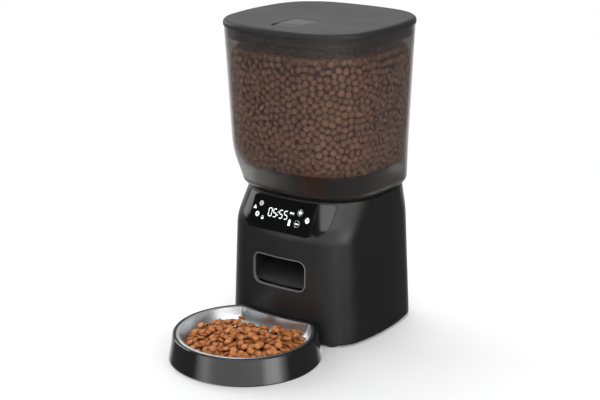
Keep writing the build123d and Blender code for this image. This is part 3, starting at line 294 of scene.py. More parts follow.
finishes = {
    "satinBlack": plastic("satinBlack", black, rough=0.34, grain=0.1, scale=1500.0),
    "innerBlack": plastic("innerBlack", black, rough=0.5, grain=0.2),
    "trayGloss": plastic("trayGloss", black, rough=0.14, grain=0.03, scale=500.0, gloss=0.02,
                         sockets={"Coat Weight": 0.6, "Coat Roughness": 0.1}),
    "panelGloss": plastic("panelGloss", rgb(13, 13, 14), rough=0.16, grain=0.02, scale=500.0, gloss=0.02),
    "clockGlass": plastic("clockGlass", rgb(8, 8, 9), rough=0.05, grain=0.01, scale=300.0, gloss=0.01),
    "trimGrey": plastic("trimGrey", rgb(108, 108, 110), rough=0.3, grain=0.1),
    "lidGrey": plastic("lidGrey", rgb(42, 42, 43), rough=0.45, grain=0.08, scale=1500.0,
                       sockets={"Specular IOR Level": 0.24}),
    "leverGrey": plastic("leverGrey", rgb(64, 64, 65), rough=0.42, grain=0.08, scale=1500.0,
                         sockets={"Specular IOR Level": 0.3}),
    "linerDark": plastic("linerDark", rgb(13, 13, 15), rough=0.5, grain=0.12,
                         sockets={"Specular IOR Level": 0.15}),
    "softRubber": plastic("softRubber", rgb(26, 26, 26), rough=0.75, grain=0.4, scale=700.0),
    "silicone": plastic("silicone", rgb(120, 120, 122), rough=0.55, grain=0.12, scale=700.0),
    "bearingWhite": plastic("bearingWhite", rgb(225, 222, 214), rough=0.4, grain=0.1),
    "boardGreen": plastic("boardGreen", rgb(30, 92, 56), rough=0.35, grain=0.3, scale=420.0, tone=0.25),
    "screwSteel": metal("screwSteel", (0.56, 0.56, 0.57, 1), rough=0.28, lines=2600.0),
    "motorSteel": metal("motorSteel", (0.5, 0.5, 0.51, 1), rough=0.32, axis=motorAxis, lines=1800.0),
    "contactBrass": metal("contactBrass", (0.72, 0.6, 0.38, 1), rough=0.3, lines=2200.0),
    "bowlSteel": metal("bowlSteel", (0.69, 0.715, 0.745, 1), rough=0.32, axis=dishAxis, lines=1500.0,
                       bump=0.008),
}

# smoky walls: "face" and "edge" colour what is seen, "lampLight" what the lamps send through
smoke = {
    "tankSmoke": {"face": (0.6, 0.555, 0.535, 1), "edge": (0.1, 0.094, 0.094, 1),
                  "lampLight": (0.82, 0.8, 0.79, 1)},
    "funnelSmoke": {"face": (0.42, 0.38, 0.36, 1), "edge": (0.05, 0.044, 0.04, 1),
                    "lampLight": (0.5, 0.47, 0.45, 1)},
}
smokeGloss = {
    "rough": 0.06, "toneChange": 0.04, "glossChange": 0.01, "grainScale": 240.0, "grain": 0.012,
    "ior": 1.46, "clear": 0.985, "falloff": 0.9, "blend": 0.5,
    # the wall colour darkens towards the foot: painted shade
    "footRough": 0.16, "footShade": 0.85, "footZ": (0.184, 0.226), "topRough": 0.1, "topZ": (0.346, 0.32),
}


def smokyClear(name):
    # clear smoky plastic: darker where the wall is seen edge-on, darker towards its foot as painted shade,
    # and open to the lamps
    values = smoke[name]
    material, tree, shader = newMaterial(name)
    group = placeGroup(tree, mouldedGrain, {
        "Color": values["face"], "Roughness": smokeGloss["rough"], "Grain Scale": smokeGloss["grainScale"],
        "Tone Change": smokeGloss["toneChange"], "Gloss Change": smokeGloss["glossChange"]})
    height = addNode(tree, "ShaderNodeSeparateXYZ")
    link(tree, addNode(tree, "ShaderNodeTexCoord").outputs["Object"], height.inputs[0])
    footHaze = rangeNode(tree, height.outputs["Z"], *smokeGloss["footZ"], smokeGloss["footRough"], 0.0)
    topHaze = rangeNode(tree, height.outputs["Z"], *smokeGloss["topZ"], smokeGloss["topRough"], 0.0)
    haze = mathNode(tree, "ADD", footHaze, topHaze)
    # painted shade: the wall colour darkens towards the foot
    paintedFootShade = rangeNode(tree, height.outputs["Z"], *smokeGloss["footZ"], smokeGloss["footShade"], 1.0)
    slant = addNode(tree, "ShaderNodeLayerWeight")
    slant.inputs["Blend"].default_value = smokeGloss["blend"]
    edgeOn = mathNode(tree, "POWER", slant.outputs["Facing"], smokeGloss["falloff"])
    wall = mixColor(tree, edgeOn, group.outputs["Color"], values["edge"])
    link(tree, scaleColor(tree, wall, paintedFootShade), shader.inputs["Base Color"])
    link(tree, mathNode(tree, "ADD", group.outputs["Roughness"], haze), shader.inputs["Roughness"])
    addBump(tree, group.outputs["Height"], shader, smokeGloss["grain"], reliefDepth["plastic"])
    shader.inputs["Transmission Weight"].default_value = smokeGloss["clear"]
    shader.inputs["IOR"].default_value = smokeGloss["ior"]
    clear = addNode(tree, "ShaderNodeBsdfTransparent")
    clear.inputs["Color"].default_value = values["lampLight"]
    choice = addNode(tree, "ShaderNodeMixShader")
    link(tree, addNode(tree, "ShaderNodeLightPath").outputs["Is Shadow Ray"], choice.inputs["Fac"])
    link(tree, shader.outputs["BSDF"], choice.inputs[1])
    link(tree, clear.outputs["BSDF"], choice.inputs[2])
    link(tree, choice.outputs["Shader"], tree.nodes["Material Output"].inputs["Surface"])
    return material


for name in smoke:
    finishes[name] = smokyClear(name)

nodeFinish = {
    "satinBlack": ["base_shell", "bottom_plate", "battery_door", "battery_bay"],
    "innerBlack": ["dispenser_well", "rotor", "gear_plate", "chute", "display_module", "power_jack",
                   "outlet_guard", "desiccant_box", "desiccant_cover"],
    "linerDark": ["lid_liner"],
    "trayGloss": ["feeding_tray"],
    "panelGloss": ["display_bezel"],
    "clockGlass": ["display_glass"],
    "trimGrey": ["chute_trim"],
    "lidGrey": ["lid_cover"],
    "leverGrey": ["latch_lever"],
    "softRubber": ["rubber_feet", "lid_seal"],
    "silicone": ["rotor_blades", "well_gasket"],
    "bearingWhite": ["rotor_bush", "drive_gear", "motor_pinion"],
    "boardGreen": ["display_board", "main_board"],
    "screwSteel": ["bottom_screws", "well_screws", "rotor_shaft", "motor_shaft", "gear_screws",
                   "motor_screws", "display_screws", "board_screws", "lid_screws", "latch_pin",
                   "latch_spring"],
    "motorSteel": ["gear_motor"],
    "contactBrass": ["battery_contacts"],
    "bowlSteel": ["steel_bowl"],
    "tankSmoke": ["tank_shell"],
    "funnelSmoke": ["hopper_funnel"],
}
for finish, members in nodeFinish.items():
    for member in members:
        mesh = nodes[member].data
        mesh.materials.clear()
        mesh.materials.append(finishes[finish])
missing = set(nodes) - {member for members in nodeFinish.values() for member in members}
print("finishes set, nodes without one:", sorted(missing))


def addPiece(name, bm, finish, body):
    mesh = bpy.data.meshes.new(name)
    bm.to_mesh(mesh)
    bm.free()
    mesh.materials.append(finishes[finish])
    piece = bpy.data.objects.new(name, mesh)
    scene.collection.objects.link(piece)
    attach(piece, body)
    return piece


def nodeTree(*names):
    # search tree over the triangles of some CAD nodes
    points, faces = [], []
    for name in names:
        mesh = nodes[name].data
        start = len(points)
        points += [vertex.co.copy() for vertex in mesh.vertices]
        faces += [[start + index for index in polygon.vertices] for polygon in mesh.polygons]
    return BVHTree.FromPolygons(points, faces)


# leaf spring of the latch, copied from its CAD part with doubled points welded
leaf = {"keep": 0.74, "weld": 1e-6}


def latchLeaf():
    bm = bmesh.new()
    bm.from_mesh(nodes["latch_spring"].data)
    bmesh.ops.remove_doubles(bm, verts=bm.verts[:], dist=leaf["weld"])
    piece = addPiece("latch_leaf", bm, "screwSteel", "lid")
    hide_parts("latch_spring")
    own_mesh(piece)


latchLeaf()
print("latch leaf set")

# food in the tank and in the bowl
kibble = {
    "radius": 5.4 * mm, "thickness": 1.85 * mm, "flatness": 0.68, "variants": 6,
    "narrow": (0.86, 1.0), "lobe": 0.05, "dent": 0.035,
    # each piece's own tone, then painted shade towards its rim for the gaps where pieces meet
    "baseTone": (0.0, 0.5), "rimShade": 0.75, "rimShadePower": 4,
}
finishes["tankFood"] = crust("tankFood", rgb(236, 176, 134), rgb(128, 82, 56))
finishes["bowlFood"] = crust("bowlFood", rgb(232, 152, 88), rgb(132, 70, 34))
# painted shade: the cores get a darker crust than the food, for the shade between the pieces
finishes["shadedFoodCore"] = crust("shadedFoodCore", rgb(112, 70, 46), rgb(82, 48, 30))


def kibbleMeshes(rng, around, rings):
    # a few puffed discs, none quite round
    meshes = []
    for variant in range(kibble["variants"]):
        bm = bmesh.new()
        bmesh.ops.create_uvsphere(bm, u_segments=around, v_segments=rings, radius=1.0)
        lobes = rng.uniform(0, math.tau)
        squash = rng.uniform(*kibble["narrow"])
        for vertex in bm.verts:
            turn = math.atan2(vertex.co.y, vertex.co.x)
            dent = rng.uniform(-kibble["dent"], kibble["dent"])
            swell = 1 + kibble["lobe"] * math.cos(2 * turn + lobes) + dent
            flat = math.copysign(abs(vertex.co.z) ** kibble["flatness"], vertex.co.z)
            vertex.co = Vector((vertex.co.x * swell * kibble["radius"],
                                vertex.co.y * swell * squash * kibble["radius"],
                                flat * kibble["thickness"]))
        for face in bm.faces:
            face.smooth = True
        mesh = bpy.data.meshes.new(f"kibble{variant}")
        bm.to_mesh(mesh)
        bm.free()
        meshes.append(mesh)
    return meshes


def scatterKibble(name, places, finish, body, rng, meshes):
    # places are (point, normal, lean, size)
    bm = bmesh.new()
    tonesAndRimShade = []
    for point, normal, lean, size in places:
        angles = (rng.gauss(0, lean), rng.gauss(0, lean), rng.uniform(0, math.tau))
        tilt = Euler(angles).to_matrix().to_4x4()
        facing = normal.to_track_quat("Z", "Y").to_matrix().to_4x4()
        copy = meshes[rng.randrange(len(meshes))].copy()
        base = rng.uniform(*kibble["baseTone"])
        for vertex in copy.vertices:
            # painted shade: darker towards each piece's rim, standing in for the shade where pieces meet
            rimShadeMask = min(1.0, math.hypot(vertex.co.x, vertex.co.y) / kibble["radius"]) ** kibble["rimShadePower"]
            tonesAndRimShade.append(base + kibble["rimShade"] * rimShadeMask)
        copy.transform(Matrix.Translation(point) @ facing @ tilt @ Matrix.Scale(size, 4))
        bm.from_mesh(copy)
        bpy.data.meshes.remove(copy)
    piece = addPiece(name, bm, finish, body)
    tone = piece.data.attributes.new("tone", "FLOAT", "POINT")
    tone.data.foreach_set("value", np.array(tonesAndRimShade, np.float32))
    print(name, len(places), "pieces of food,", len(piece.data.polygons), "faces")


tankFill = {
    "lowZ": 0.177, "highZ": 0.329, "levels": 26, "turns": 240, "topSlack": 7.0 * mm, "slackDepth": 16 * mm,
    "pitch": 8.2 * mm, "rowPitch": 0.84, "columnPitch": 0.98, "shake": 0.62,
    "pushes": 12, "refresh": 4, "pushReach": 2, "pushRoom": 1.08, "pushShare": 0.28, "roomReach": 1.6,
    "wallGap": 2.0 * mm, "gapShake": 0.3, "lean": 0.24, "fit": 1.1, "sizes": (0.62, 0.92),
}
tankLow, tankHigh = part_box("tank_shell")
tankAxis = Vector((0.0, (tankLow.y + tankHigh.y) / 2, 0.0))
tankWalls = nodeTree("tank_shell", "hopper_funnel")


def wallRing(z, count):
    # inner wall of the tank at one height: points and inward normals
    ring = []
    for index in range(count):
        turn = math.tau * index / count
        way = Vector((math.cos(turn), math.sin(turn), 0.0))
        point, normal = tankWalls.ray_cast(Vector((0, tankAxis.y, z)), way)[:2]
        if point is None:
            continue
        if normal.dot(way) > 0:
            normal = -normal
        ring.append((point, normal))
    return ring


def endSlack(z):
    # the fill leaves the wall a little below its loose top
    part = (z - tankFill["highZ"]) / tankFill["slackDepth"] + 1
    return tankFill["topSlack"] * max(0.0, min(1.0, part)) ** 2


fillLevels = np.linspace(tankFill["lowZ"], tankFill["highZ"], tankFill["levels"])
fillRings = [wallRing(z, tankFill["turns"]) for z in fillLevels]


def ringPlace(share, z):
    # point and normal of the wall at a share of its girth
    level = int(np.clip(np.searchsorted(fillLevels, z) - 1, 0, len(fillLevels) - 2))
    part = (z - fillLevels[level]) / (fillLevels[level + 1] - fillLevels[level])
    pair = []
    for ring in (fillRings[level], fillRings[level + 1]):
        index = int(share * len(ring)) % len(ring)
        rest = share * len(ring) - int(share * len(ring))
        (point, normal), (nextPoint, nextNormal) = ring[index], ring[(index + 1) % len(ring)]
        pair.append((point.lerp(nextPoint, rest), normal.lerp(nextNormal, rest)))
    return pair[0][0].lerp(pair[1][0], part), pair[0][1].lerp(pair[1][1], part).normalized()


def spotGaps(spots, girth, first, second):
    # vectors and lengths between pairs of spots, across the seam of the unrolled wall too
    gap = spots[first] - spots[second]
    gap[:, 0] -= girth * np.round(gap[:, 0] / girth)
    return gap, np.sqrt((gap ** 2).sum(axis=1)) + 1e-9


def nearPairs(spots, girth, reach):
    first, second = np.triu_indices(len(spots), 1)
    close = np.abs(spots[first, 1] - spots[second, 1]) < reach
    first, second = first[close], second[close]
    close = spotGaps(spots, girth, first, second)[1] < reach
    return first[close], second[close]


def evenSpread(rng, girth, rise, pitch):
    # shaken rows on the unrolled wall, pushed apart until the spots lie evenly
    rows = round(rise / (pitch * tankFill["rowPitch"]))
    across = round(girth / (pitch * tankFill["columnPitch"]))
    shake = tankFill["shake"] * pitch
    spots = []
    for row in range(rows):
        for column in range(across):
            along = girth * (column + 0.5 * (row % 2)) / across
            up = rise * row / (rows - 1)
            spots.append((along + rng.uniform(-shake, shake), up + rng.uniform(-shake, shake)))
    spots = np.array(spots)
    for push in range(tankFill["pushes"]):
        if push % tankFill["refresh"] == 0:
            first, second = nearPairs(spots, girth, tankFill["pushReach"] * pitch)
        gap, length = spotGaps(spots, girth, first, second)
        short = np.clip(pitch * tankFill["pushRoom"] - length, 0, None)
        step = gap * (short / length * tankFill["pushShare"])[:, None]
        np.add.at(spots, first, step)
        np.add.at(spots, second, -step)
        spots[:, 0] %= girth
        spots[:, 1] = np.clip(spots[:, 1], 0, rise)
    reach = tankFill["roomReach"] * pitch
    first, second = nearPairs(spots, girth, reach)
    length = spotGaps(spots, girth, first, second)[1]
    room = np.full((len(spots), 2), reach)  # the two nearest neighbours of each spot
    for one, other, distance in zip(first, second, length):
        for index in (one, other):
            room[index] = sorted((*room[index], distance))[:2]
    return spots, room.mean(axis=1)


def wallPlaces(rng):
    # arc length along the middle ring gives each turn its share of the girth
    middle = [point for point, normal in fillRings[len(fillRings) // 2]]
    steps = [(middle[index] - middle[index - 1]).length for index in range(len(middle))]
    reached = np.cumsum(steps)
    girth = reached[-1]
    spots, nearest = evenSpread(rng, girth, tankFill["highZ"] - tankFill["lowZ"], tankFill["pitch"])
    shares = np.arange(len(middle)) / len(middle)
    smallest, largest = tankFill["sizes"]
    places = []
    for (along, rise), room in zip(spots, nearest):
        z = tankFill["lowZ"] + rise
        point, normal = ringPlace(float(np.interp(along, reached, shares)), z)
        inset = tankFill["wallGap"] + endSlack(z) + abs(rng.gauss(0, tankFill["gapShake"])) * mm
        size = tankFill["fit"] * room / (2 * kibble["radius"])
        places.append((point + normal * inset, normal, tankFill["lean"], min(largest, max(smallest, size))))
    return places


tankTop = {
    "pitch": 8.6 * mm, "rowPitch": 0.88, "shake": 1.1, "wallGap": 6.5 * mm,
    "lean": 0.4, "sizes": (0.92, 1.08), "crown": 1.6, "fall": 2.2, "fallReach": 0.1, "rough": 0.9,
}


def tankSurface(rng):
    # loose top of the fill
    places = []
    z = tankFill["highZ"]
    middle = Vector((0, tankAxis.y, z))
    step, shake = tankTop["pitch"], tankTop["shake"]
    y, row = tankLow.y, 0
    while y < tankHigh.y:
        x = tankLow.x + (step / 2 if row % 2 else 0)
        while x < tankHigh.x:
            spot = Vector((x + rng.gauss(0, shake) * mm, y + rng.gauss(0, shake) * mm, z))
            away = spot - middle
            point = tankWalls.ray_cast(middle, away.normalized())[0]
            if point is not None and (point - middle).length > away.length + tankTop["wallGap"]:
                fall = tankTop["fall"] * away.length / tankTop["fallReach"]
                spot.z = z + (tankTop["crown"] - fall + rng.gauss(0, tankTop["rough"])) * mm
                places.append((spot, Vector((0, 0, 1)), tankTop["lean"], rng.uniform(*tankTop["sizes"])))
            x += step
        y += step * tankTop["rowPitch"]
        row += 1
    return places


tankHeart = {"inset": 4.2 * mm, "steps": 7, "turns": 72, "topDrop": 3 * mm}


def tankCore():
    # solid heart of the fill, behind the outer pieces, with a darker crust as painted shade between them
    bm = bmesh.new()
    loops = []
    steps = tankHeart["steps"]
    for part in range(steps + 1):
        z = tankFill["lowZ"] + (tankFill["highZ"] - tankFill["lowZ"]) * part / steps
        inset = tankHeart["inset"] + endSlack(z)
        loop = [bm.verts.new(point + normal * inset) for point, normal in wallRing(z, tankHeart["turns"])]
        for vertex in loop:
            vertex.co.z = min(z, tankFill["highZ"] - tankHeart["topDrop"])
        loops.append([bm.edges.new((loop[index - 1], loop[index])) for index in range(len(loop))])
    for lower, upper in zip(loops, loops[1:]):
        bmesh.ops.bridge_loops(bm, edges=lower + upper)
    bmesh.ops.edgeloop_fill(bm, edges=loops[0])
    bmesh.ops.edgeloop_fill(bm, edges=loops[-1])
    bmesh.ops.recalc_face_normals(bm, faces=bm.faces[:])
    addPiece("tank_food_core", bm, "shadedFoodCore", "tank")


foodRandom = random.Random(41)
tankShapes = kibbleMeshes(foodRandom, 9, 5)
bowlShapes = kibbleMeshes(foodRandom, 12, 6)
tankCore()
scatterKibble("tank_food", wallPlaces(foodRandom), "tankFood", "tank", foodRandom, tankShapes)
scatterKibble("tank_food_top", tankSurface(foodRandom), "tankFood", "tank", foodRandom, tankShapes)

heap = {
    "reach": 72.0 * mm, "crown": 24.0 * mm, "edgeZ": 16.2 * mm, "power": 2.6,
    "inset": 4.2 * mm, "offset": 4.0 * mm,
    "backGap": 17.0 * mm, "thinSide": Vector((-0.57, 0.82, 0.0)),  # steel shows on this side
    "count": 1300, "choices": 5, "full": -0.6 * mm, "depth": 9.0 * mm,
    "cell": 1.0 * mm, "footprint": 4.5 * mm,
    "tilt": 0.26, "steepest": 0.62, "sink": 0.8 * mm, "sizes": (0.76, 0.92), "castFrom": 0.1,
}
bowlWalls = nodeTree("steel_bowl")
heapMiddle = Vector((heap["offset"], dishAxis[1], 0.0))


def heapEdge(way):
    point, *rest, distance = bowlWalls.ray_cast(Vector((heapMiddle.x, heapMiddle.y, heap["edgeZ"])), way)
    reach = distance if point is not None else heap["reach"]
    return reach - heap["backGap"] * max(0.0, way.dot(heap["thinSide"])) ** 2


def heapHeight(x, y):
    away = Vector((x, y, 0)) - heapMiddle
    if away.length < 1e-6:
        return heap["crown"]
    part = min(1.0, away.length / (heapEdge(away.normalized()) - heap["inset"] / 2))
    return heap["edgeZ"] + (heap["crown"] - heap["edgeZ"]) * (1 - part ** heap["power"])


def dishHeight(x, y):
    # inner skin of the bowl, seen from above
    hit = bowlWalls.ray_cast(Vector((x, y, heap["castFrom"])), Vector((0, 0, -1)))[0]
    return hit.z if hit is not None else 0.0


def heapSpot(rng):
    while True:
        away = Vector((rng.uniform(-1, 1), rng.uniform(-1, 1), 0)) * heap["reach"]
        if 1e-6 < away.length < heapEdge(away.normalized()) - heap["inset"]:
            return heapMiddle + away


def bowlHeap(rng):
    # pieces dropped one by one: each settles on those below it
    cell = heap["cell"]
    half = int(heap["reach"] / cell) + int(heap["footprint"] / cell) + 1
    steps = np.arange(-half, half + 1) * cell
    goal = np.array([[heapHeight(heapMiddle.x + x, heapMiddle.y + y) for y in steps] for x in steps])
    dish = np.array([[dishHeight(heapMiddle.x + x, heapMiddle.y + y) for y in steps] for x in steps])
    top = np.maximum(goal - heap["depth"], dish)
    span = int(heap["footprint"] / cell)
    near = np.arange(-span, span + 1) * cell
    nearX, nearY = np.meshgrid(near, near, indexing="ij")
    reach = (nearX ** 2 + nearY ** 2) / heap["footprint"] ** 2
    inside = reach <= 1.0
    dome = kibble["thickness"] * np.sqrt(np.clip(1 - reach, 0, 1))
    spread = (nearX[inside] ** 2).sum()
    places = []
    for drop in range(heap["count"]):
        lowest = None
        for spot in [heapSpot(rng) for choice in range(heap["choices"])]:
            column = half + round((spot.x - heapMiddle.x) / cell)
            line = half + round((spot.y - heapMiddle.y) / cell)
            excess = top[column, line] - goal[column, line]
            if lowest is None or excess < lowest[0]:
                lowest = (excess, spot, column, line)
        excess, spot, column, line = lowest
        if excess > heap["full"]:
            continue
        patch = top[column - span:column + span + 1, line - span:line + span + 1]
        leanX = (nearX * patch)[inside].sum() / spread + rng.gauss(0, heap["tilt"])
        leanY = (nearY * patch)[inside].sum() / spread + rng.gauss(0, heap["tilt"])
        steep = max(1.0, math.hypot(leanX, leanY) / heap["steepest"])
        leanX, leanY = leanX / steep, leanY / steep
        plane = leanX * nearX + leanY * nearY
        rest = (patch - plane + dome)[inside].max() - heap["sink"]
        patch[inside] = np.maximum(patch, rest + plane + dome)[inside]
        places.append((Vector((spot.x, spot.y, rest)), Vector((-leanX, -leanY, 1)).normalized(), 0.0,
                       rng.uniform(*heap["sizes"])))
    return places


heapHeart = {"turns": 48, "rings": (1.0, 0.94, 0.8, 0.62, 0.44, 0.26, 0.1), "depth": 4.6 * mm,
             "footShare": 0.7, "footZ": 10.5 * mm}


def heapCore():
    # solid heart of the heap, under the loose pieces, with a darker crust as painted shade between them
    bm = bmesh.new()
    rings = []
    count = heapHeart["turns"]
    for part in heapHeart["rings"]:
        ring = []
        for index in range(count):
            turn = math.tau * index / count
            way = Vector((math.cos(turn), math.sin(turn), 0))
            reach = (heapEdge(way) - heap["inset"]) * part
            spot = heapMiddle + way * reach
            z = heapHeight(spot.x, spot.y) - heapHeart["depth"]
            ring.append(bm.verts.new((spot.x, spot.y, z)))
        rings.append([bm.edges.new((ring[index - 1], ring[index])) for index in range(count)])
    for outer, inner in zip(rings, rings[1:]):
        bmesh.ops.bridge_loops(bm, edges=outer + inner)
    bmesh.ops.edgeloop_fill(bm, edges=rings[-1])
    under = bmesh.ops.extrude_edge_only(bm, edges=rings[0])["geom"]
    lower = [item for item in under if isinstance(item, bmesh.types.BMVert)]
    for vertex in lower:
        away = Vector((vertex.co.x, vertex.co.y, 0)) - heapMiddle
        vertex.co = heapMiddle + away * heapHeart["footShare"]
        vertex.co.z = heapHeart["footZ"]
    bmesh.ops.edgeloop_fill(bm, edges=[item for item in under if isinstance(item, bmesh.types.BMEdge)
                                       and all(vertex in lower for vertex in item.verts)])
    bmesh.ops.recalc_face_normals(bm, faces=bm.faces[:])
    for face in bm.faces:
        face.smooth = True
    addPiece("bowl_food_core", bm, "shadedFoodCore", "bowl")


heapCore()
scatterKibble("bowl_food", bowlHeap(foodRandom), "bowlFood", "bowl", foodRandom, bowlShapes)
for mesh in tankShapes + bowlShapes:
    bpy.data.meshes.remove(mesh)

# lit marks on the clock glass: places and sizes on its front in millimetres
finishes["clockLight"] = glow("clockLight", (0.93, 0.97, 1.0, 1), strength=1.05)
marks = {
    "proud": 0.12 * mm, "depth": 0.25 * mm, "line": 0.42,
    "digits": "0555", "digitHeight": 8.4, "digitWidth": 4.3, "digitStroke": 0.8,
    "digitPlaces": (-17.8, -11.3, -2.8, 3.9), "digitLow": 144.4, "dotsX": -4.9, "dotsUp": (2.5, 5.9),
    "more": (24.6, 154.1), "less": (23.3, 142.0), "feed": (36.0, 147.2), "bell": (-37.6, 150.2),
    "alarm": (-30.2, 155.8), "wheel": (-32.6, 144.1), "lock": (-24.5, 140.7), "afternoon": (11.5, 151.7),
    "battery": (12.9, 141.5), "teeth": 8, "castFrom": -0.2,  # cast from here, in metres, onto the glass
}
glassTree = nodeTree("display_glass")
segmentsOf = {"0": "abcdef", "5": "afgcd"}


def flatFace(bm, points):
    bm.faces.new([bm.verts.new((x, 0.0, z)) for x, z in points])


def bar(bm, x, z, length, width, turn=0.0):
    cosine, sine = math.cos(turn), math.sin(turn)
    corners = [(side * length / 2, end * width / 2) for side, end in ((-1, -1), (1, -1), (1, 1), (-1, 1))]
    flatFace(bm, [(x + along * cosine - up * sine, z + along * sine + up * cosine)
                  for along, up in corners])


def ringMark(bm, x, z, radius, width, start=0.0, sweep=math.tau, count=28):
    full = sweep >= math.tau - 1e-6
    first = Vector((math.cos(start), 0, math.sin(start)))
    inner = bm.verts.new(Vector((x, 0, z)) + first * (radius - width / 2))
    outer = bm.verts.new(Vector((x, 0, z)) + first * (radius + width / 2))
    edge = bm.edges.new((inner, outer))
    bmesh.ops.spin(bm, geom=[inner, outer, edge], cent=(x, 0, z), axis=(0, -1, 0), angle=sweep, steps=count,
                   use_merge=full)


def disc(bm, x, z, radius, count=14):
    turns = [math.tau * part / count for part in range(count)]
    flatFace(bm, [(x + radius * math.cos(turn), z + radius * math.sin(turn)) for turn in turns])


def digit(bm, number, x, z):
    # seven-segment figure: "a", "g" and "d" lie flat, the others stand
    high, wide, half = marks["digitHeight"], marks["digitWidth"], marks["digitStroke"] / 2
    levels = {"a": high, "g": high / 2, "d": 0.0}
    for name in segmentsOf[number]:
        if name in levels:
            level = levels[name]
            tip, shoulder = half * 1.25, half * 2.1
            points = [(tip, level), (shoulder, level + half), (wide - shoulder, level + half),
                      (wide - tip, level), (wide - shoulder, level - half), (shoulder, level - half)]
        else:
            side = 0.0 if name in "ef" else wide
            low = 0.0 if name in "ec" else high / 2
            top = low + high / 2
            tip, shoulder = half * 0.4, half * 1.3
            points = [(side, low + tip), (side + half, low + shoulder), (side + half, top - shoulder),
                      (side, top - tip), (side - half, top - shoulder), (side - half, low + shoulder)]
        flatFace(bm, [(x + across, z + up) for across, up in points])


def keyMarks(bm):
    line = marks["line"]
    for x, z in (marks["more"], marks["less"]):
        ringMark(bm, x, z, radius=3.4, width=line * 0.25)
        bar(bm, x, z, length=4.4, width=1.1)
    x, z = marks["more"]
    for up in (1.35, -1.35):
        bar(bm, x, z + up, length=1.1, width=1.6)
    # dish with food above it
    x, z = marks["feed"]
    ringMark(bm, x, z, radius=1.35, width=2.1, start=math.pi, sweep=math.pi, count=16)
    bar(bm, x, z + 0.55, length=6.4, width=0.6)
    for across, up in ((-1.5, 2.0), (0.0, 3.0), (1.5, 2.0)):
        disc(bm, x + across, z + up, radius=0.7)
    x, z = marks["bell"]
    ringMark(bm, x, z, radius=0.85, width=1.5, sweep=math.pi, count=18)
    bar(bm, x, z - 0.6, length=4.2, width=0.6)
    disc(bm, x, z + 2.3, radius=0.55)
    # alarm clock with two hands
    x, z = marks["alarm"]
    ringMark(bm, x, z, radius=2.2, width=line)
    bar(bm, x, z + 0.6, length=line, width=1.5)
    bar(bm, x + 0.6, z - 0.3, length=1.3, width=line)
    # toothed wheel
    x, z = marks["wheel"]
    ringMark(bm, x, z, radius=1.6, width=line * 1.8)
    for tooth in range(marks["teeth"]):
        turn = math.tau * tooth / marks["teeth"]
        bar(bm, x + 2.4 * math.cos(turn), z + 2.4 * math.sin(turn), length=0.8, width=0.9, turn=turn)
    x, z = marks["lock"]
    bar(bm, x, z, length=3.0, width=1.9)
    ringMark(bm, x, z + 1.4, radius=1.1, width=line * 0.8, sweep=math.pi, count=14)


def timeMarks(bm):
    line, low = marks["line"], marks["digitLow"]
    for place, number in zip(marks["digitPlaces"], marks["digits"]):
        digit(bm, number, place, low)
    for up in marks["dotsUp"]:
        disc(bm, marks["dotsX"], low + up, radius=0.55)
    # afternoon: upright and level strokes, then the two slanted ones
    x, z = marks["afternoon"]
    for across, up, wide, high in ((0.0, 0.0, line, 2.4), (0.8, 1.0, 1.1, line), (0.8, -0.1, 1.1, line),
                                   (1.45, 0.45, line, 0.66), (2.6, 0.0, line, 2.4), (4.7, 0.0, line, 2.4)):
        bar(bm, x + across, z + up, wide, high)
    for across, turn in ((3.25, -1.05), (4.05, 1.05)):
        bar(bm, x + across, z + 0.5, length=1.4, width=0.4, turn=turn)
    # battery, upright, with its pole
    x, z = marks["battery"]
    bar(bm, x, z, length=3.0, width=5.6)
    bar(bm, x, z + 3.4, length=1.5, width=0.7)


def clockMarks():
    bm = bmesh.new()
    keyMarks(bm)
    timeMarks(bm)
    for vertex in bm.verts:
        x, z = vertex.co.x * mm, vertex.co.z * mm
        front = glassTree.ray_cast(Vector((x, marks["castFrom"], z)), Vector((0, 1, 0)))[0]
        vertex.co = Vector((x, front.y - marks["proud"], z))
    bmesh.ops.recalc_face_normals(bm, faces=bm.faces[:])
    for face in bm.faces:
        if face.normal.y > 0:
            face.normal_flip()
    made = bmesh.ops.extrude_face_region(bm, geom=bm.faces[:], use_keep_orig=True)["geom"]
    for vertex in [item for item in made if isinstance(item, bmesh.types.BMVert)]:
        vertex.co.y += marks["depth"]
    bmesh.ops.recalc_face_normals(bm, faces=bm.faces[:])
    addPiece("clock_marks", bm, "clockLight", "base")


clockMarks()
print("clock marks drawn")

# floor, light and camera
studio = {
    "floorSize": 6.0, "floorWhite": 0.86, "floorLift": 0.12, "floorNear": 0.35, "floorFar": 0.9,
    "worldDiffuse": 0.55, "roomGloss": 0.08, "overhead": 0.9, "overheadRise": (0.6, 0.85),
    "backdrop": (-0.574, 0.819, 0.0), "backdropEdge": (0.7, 0.97), "backdropFade": (0.1, 0.34),
    "backdropHigh": 0.28,
    "floorGlow": (-0.6, 0.25, -0.76), "glowEdge": (0.84, 0.97),
}
# low panels that reflections show: brightness by azimuth from the front, and the heights where each fades
panels = {
    "wide": {"peak": 3.0, "rise": (-0.2, -0.12), "fall": (0.02, 0.2),
             "stops": ((-44, 0.0), (-33, 0.7), (-24, 0.9), (-14, 0.5), (-4, 0.36), (30, 0.34), (60, 0.42),
                       (70, 1.15), (84, 1.3), (94, 0.5), (104, 0.0))},
    "corner": {"peak": 3.4, "rise": (-0.275, -0.25), "fall": (-0.2, -0.15),
               "stops": ((-24, 0.0), (4, 0.24), (30, 0.42), (48, 0.9), (56, 0.9), (62, 0.0))},
}


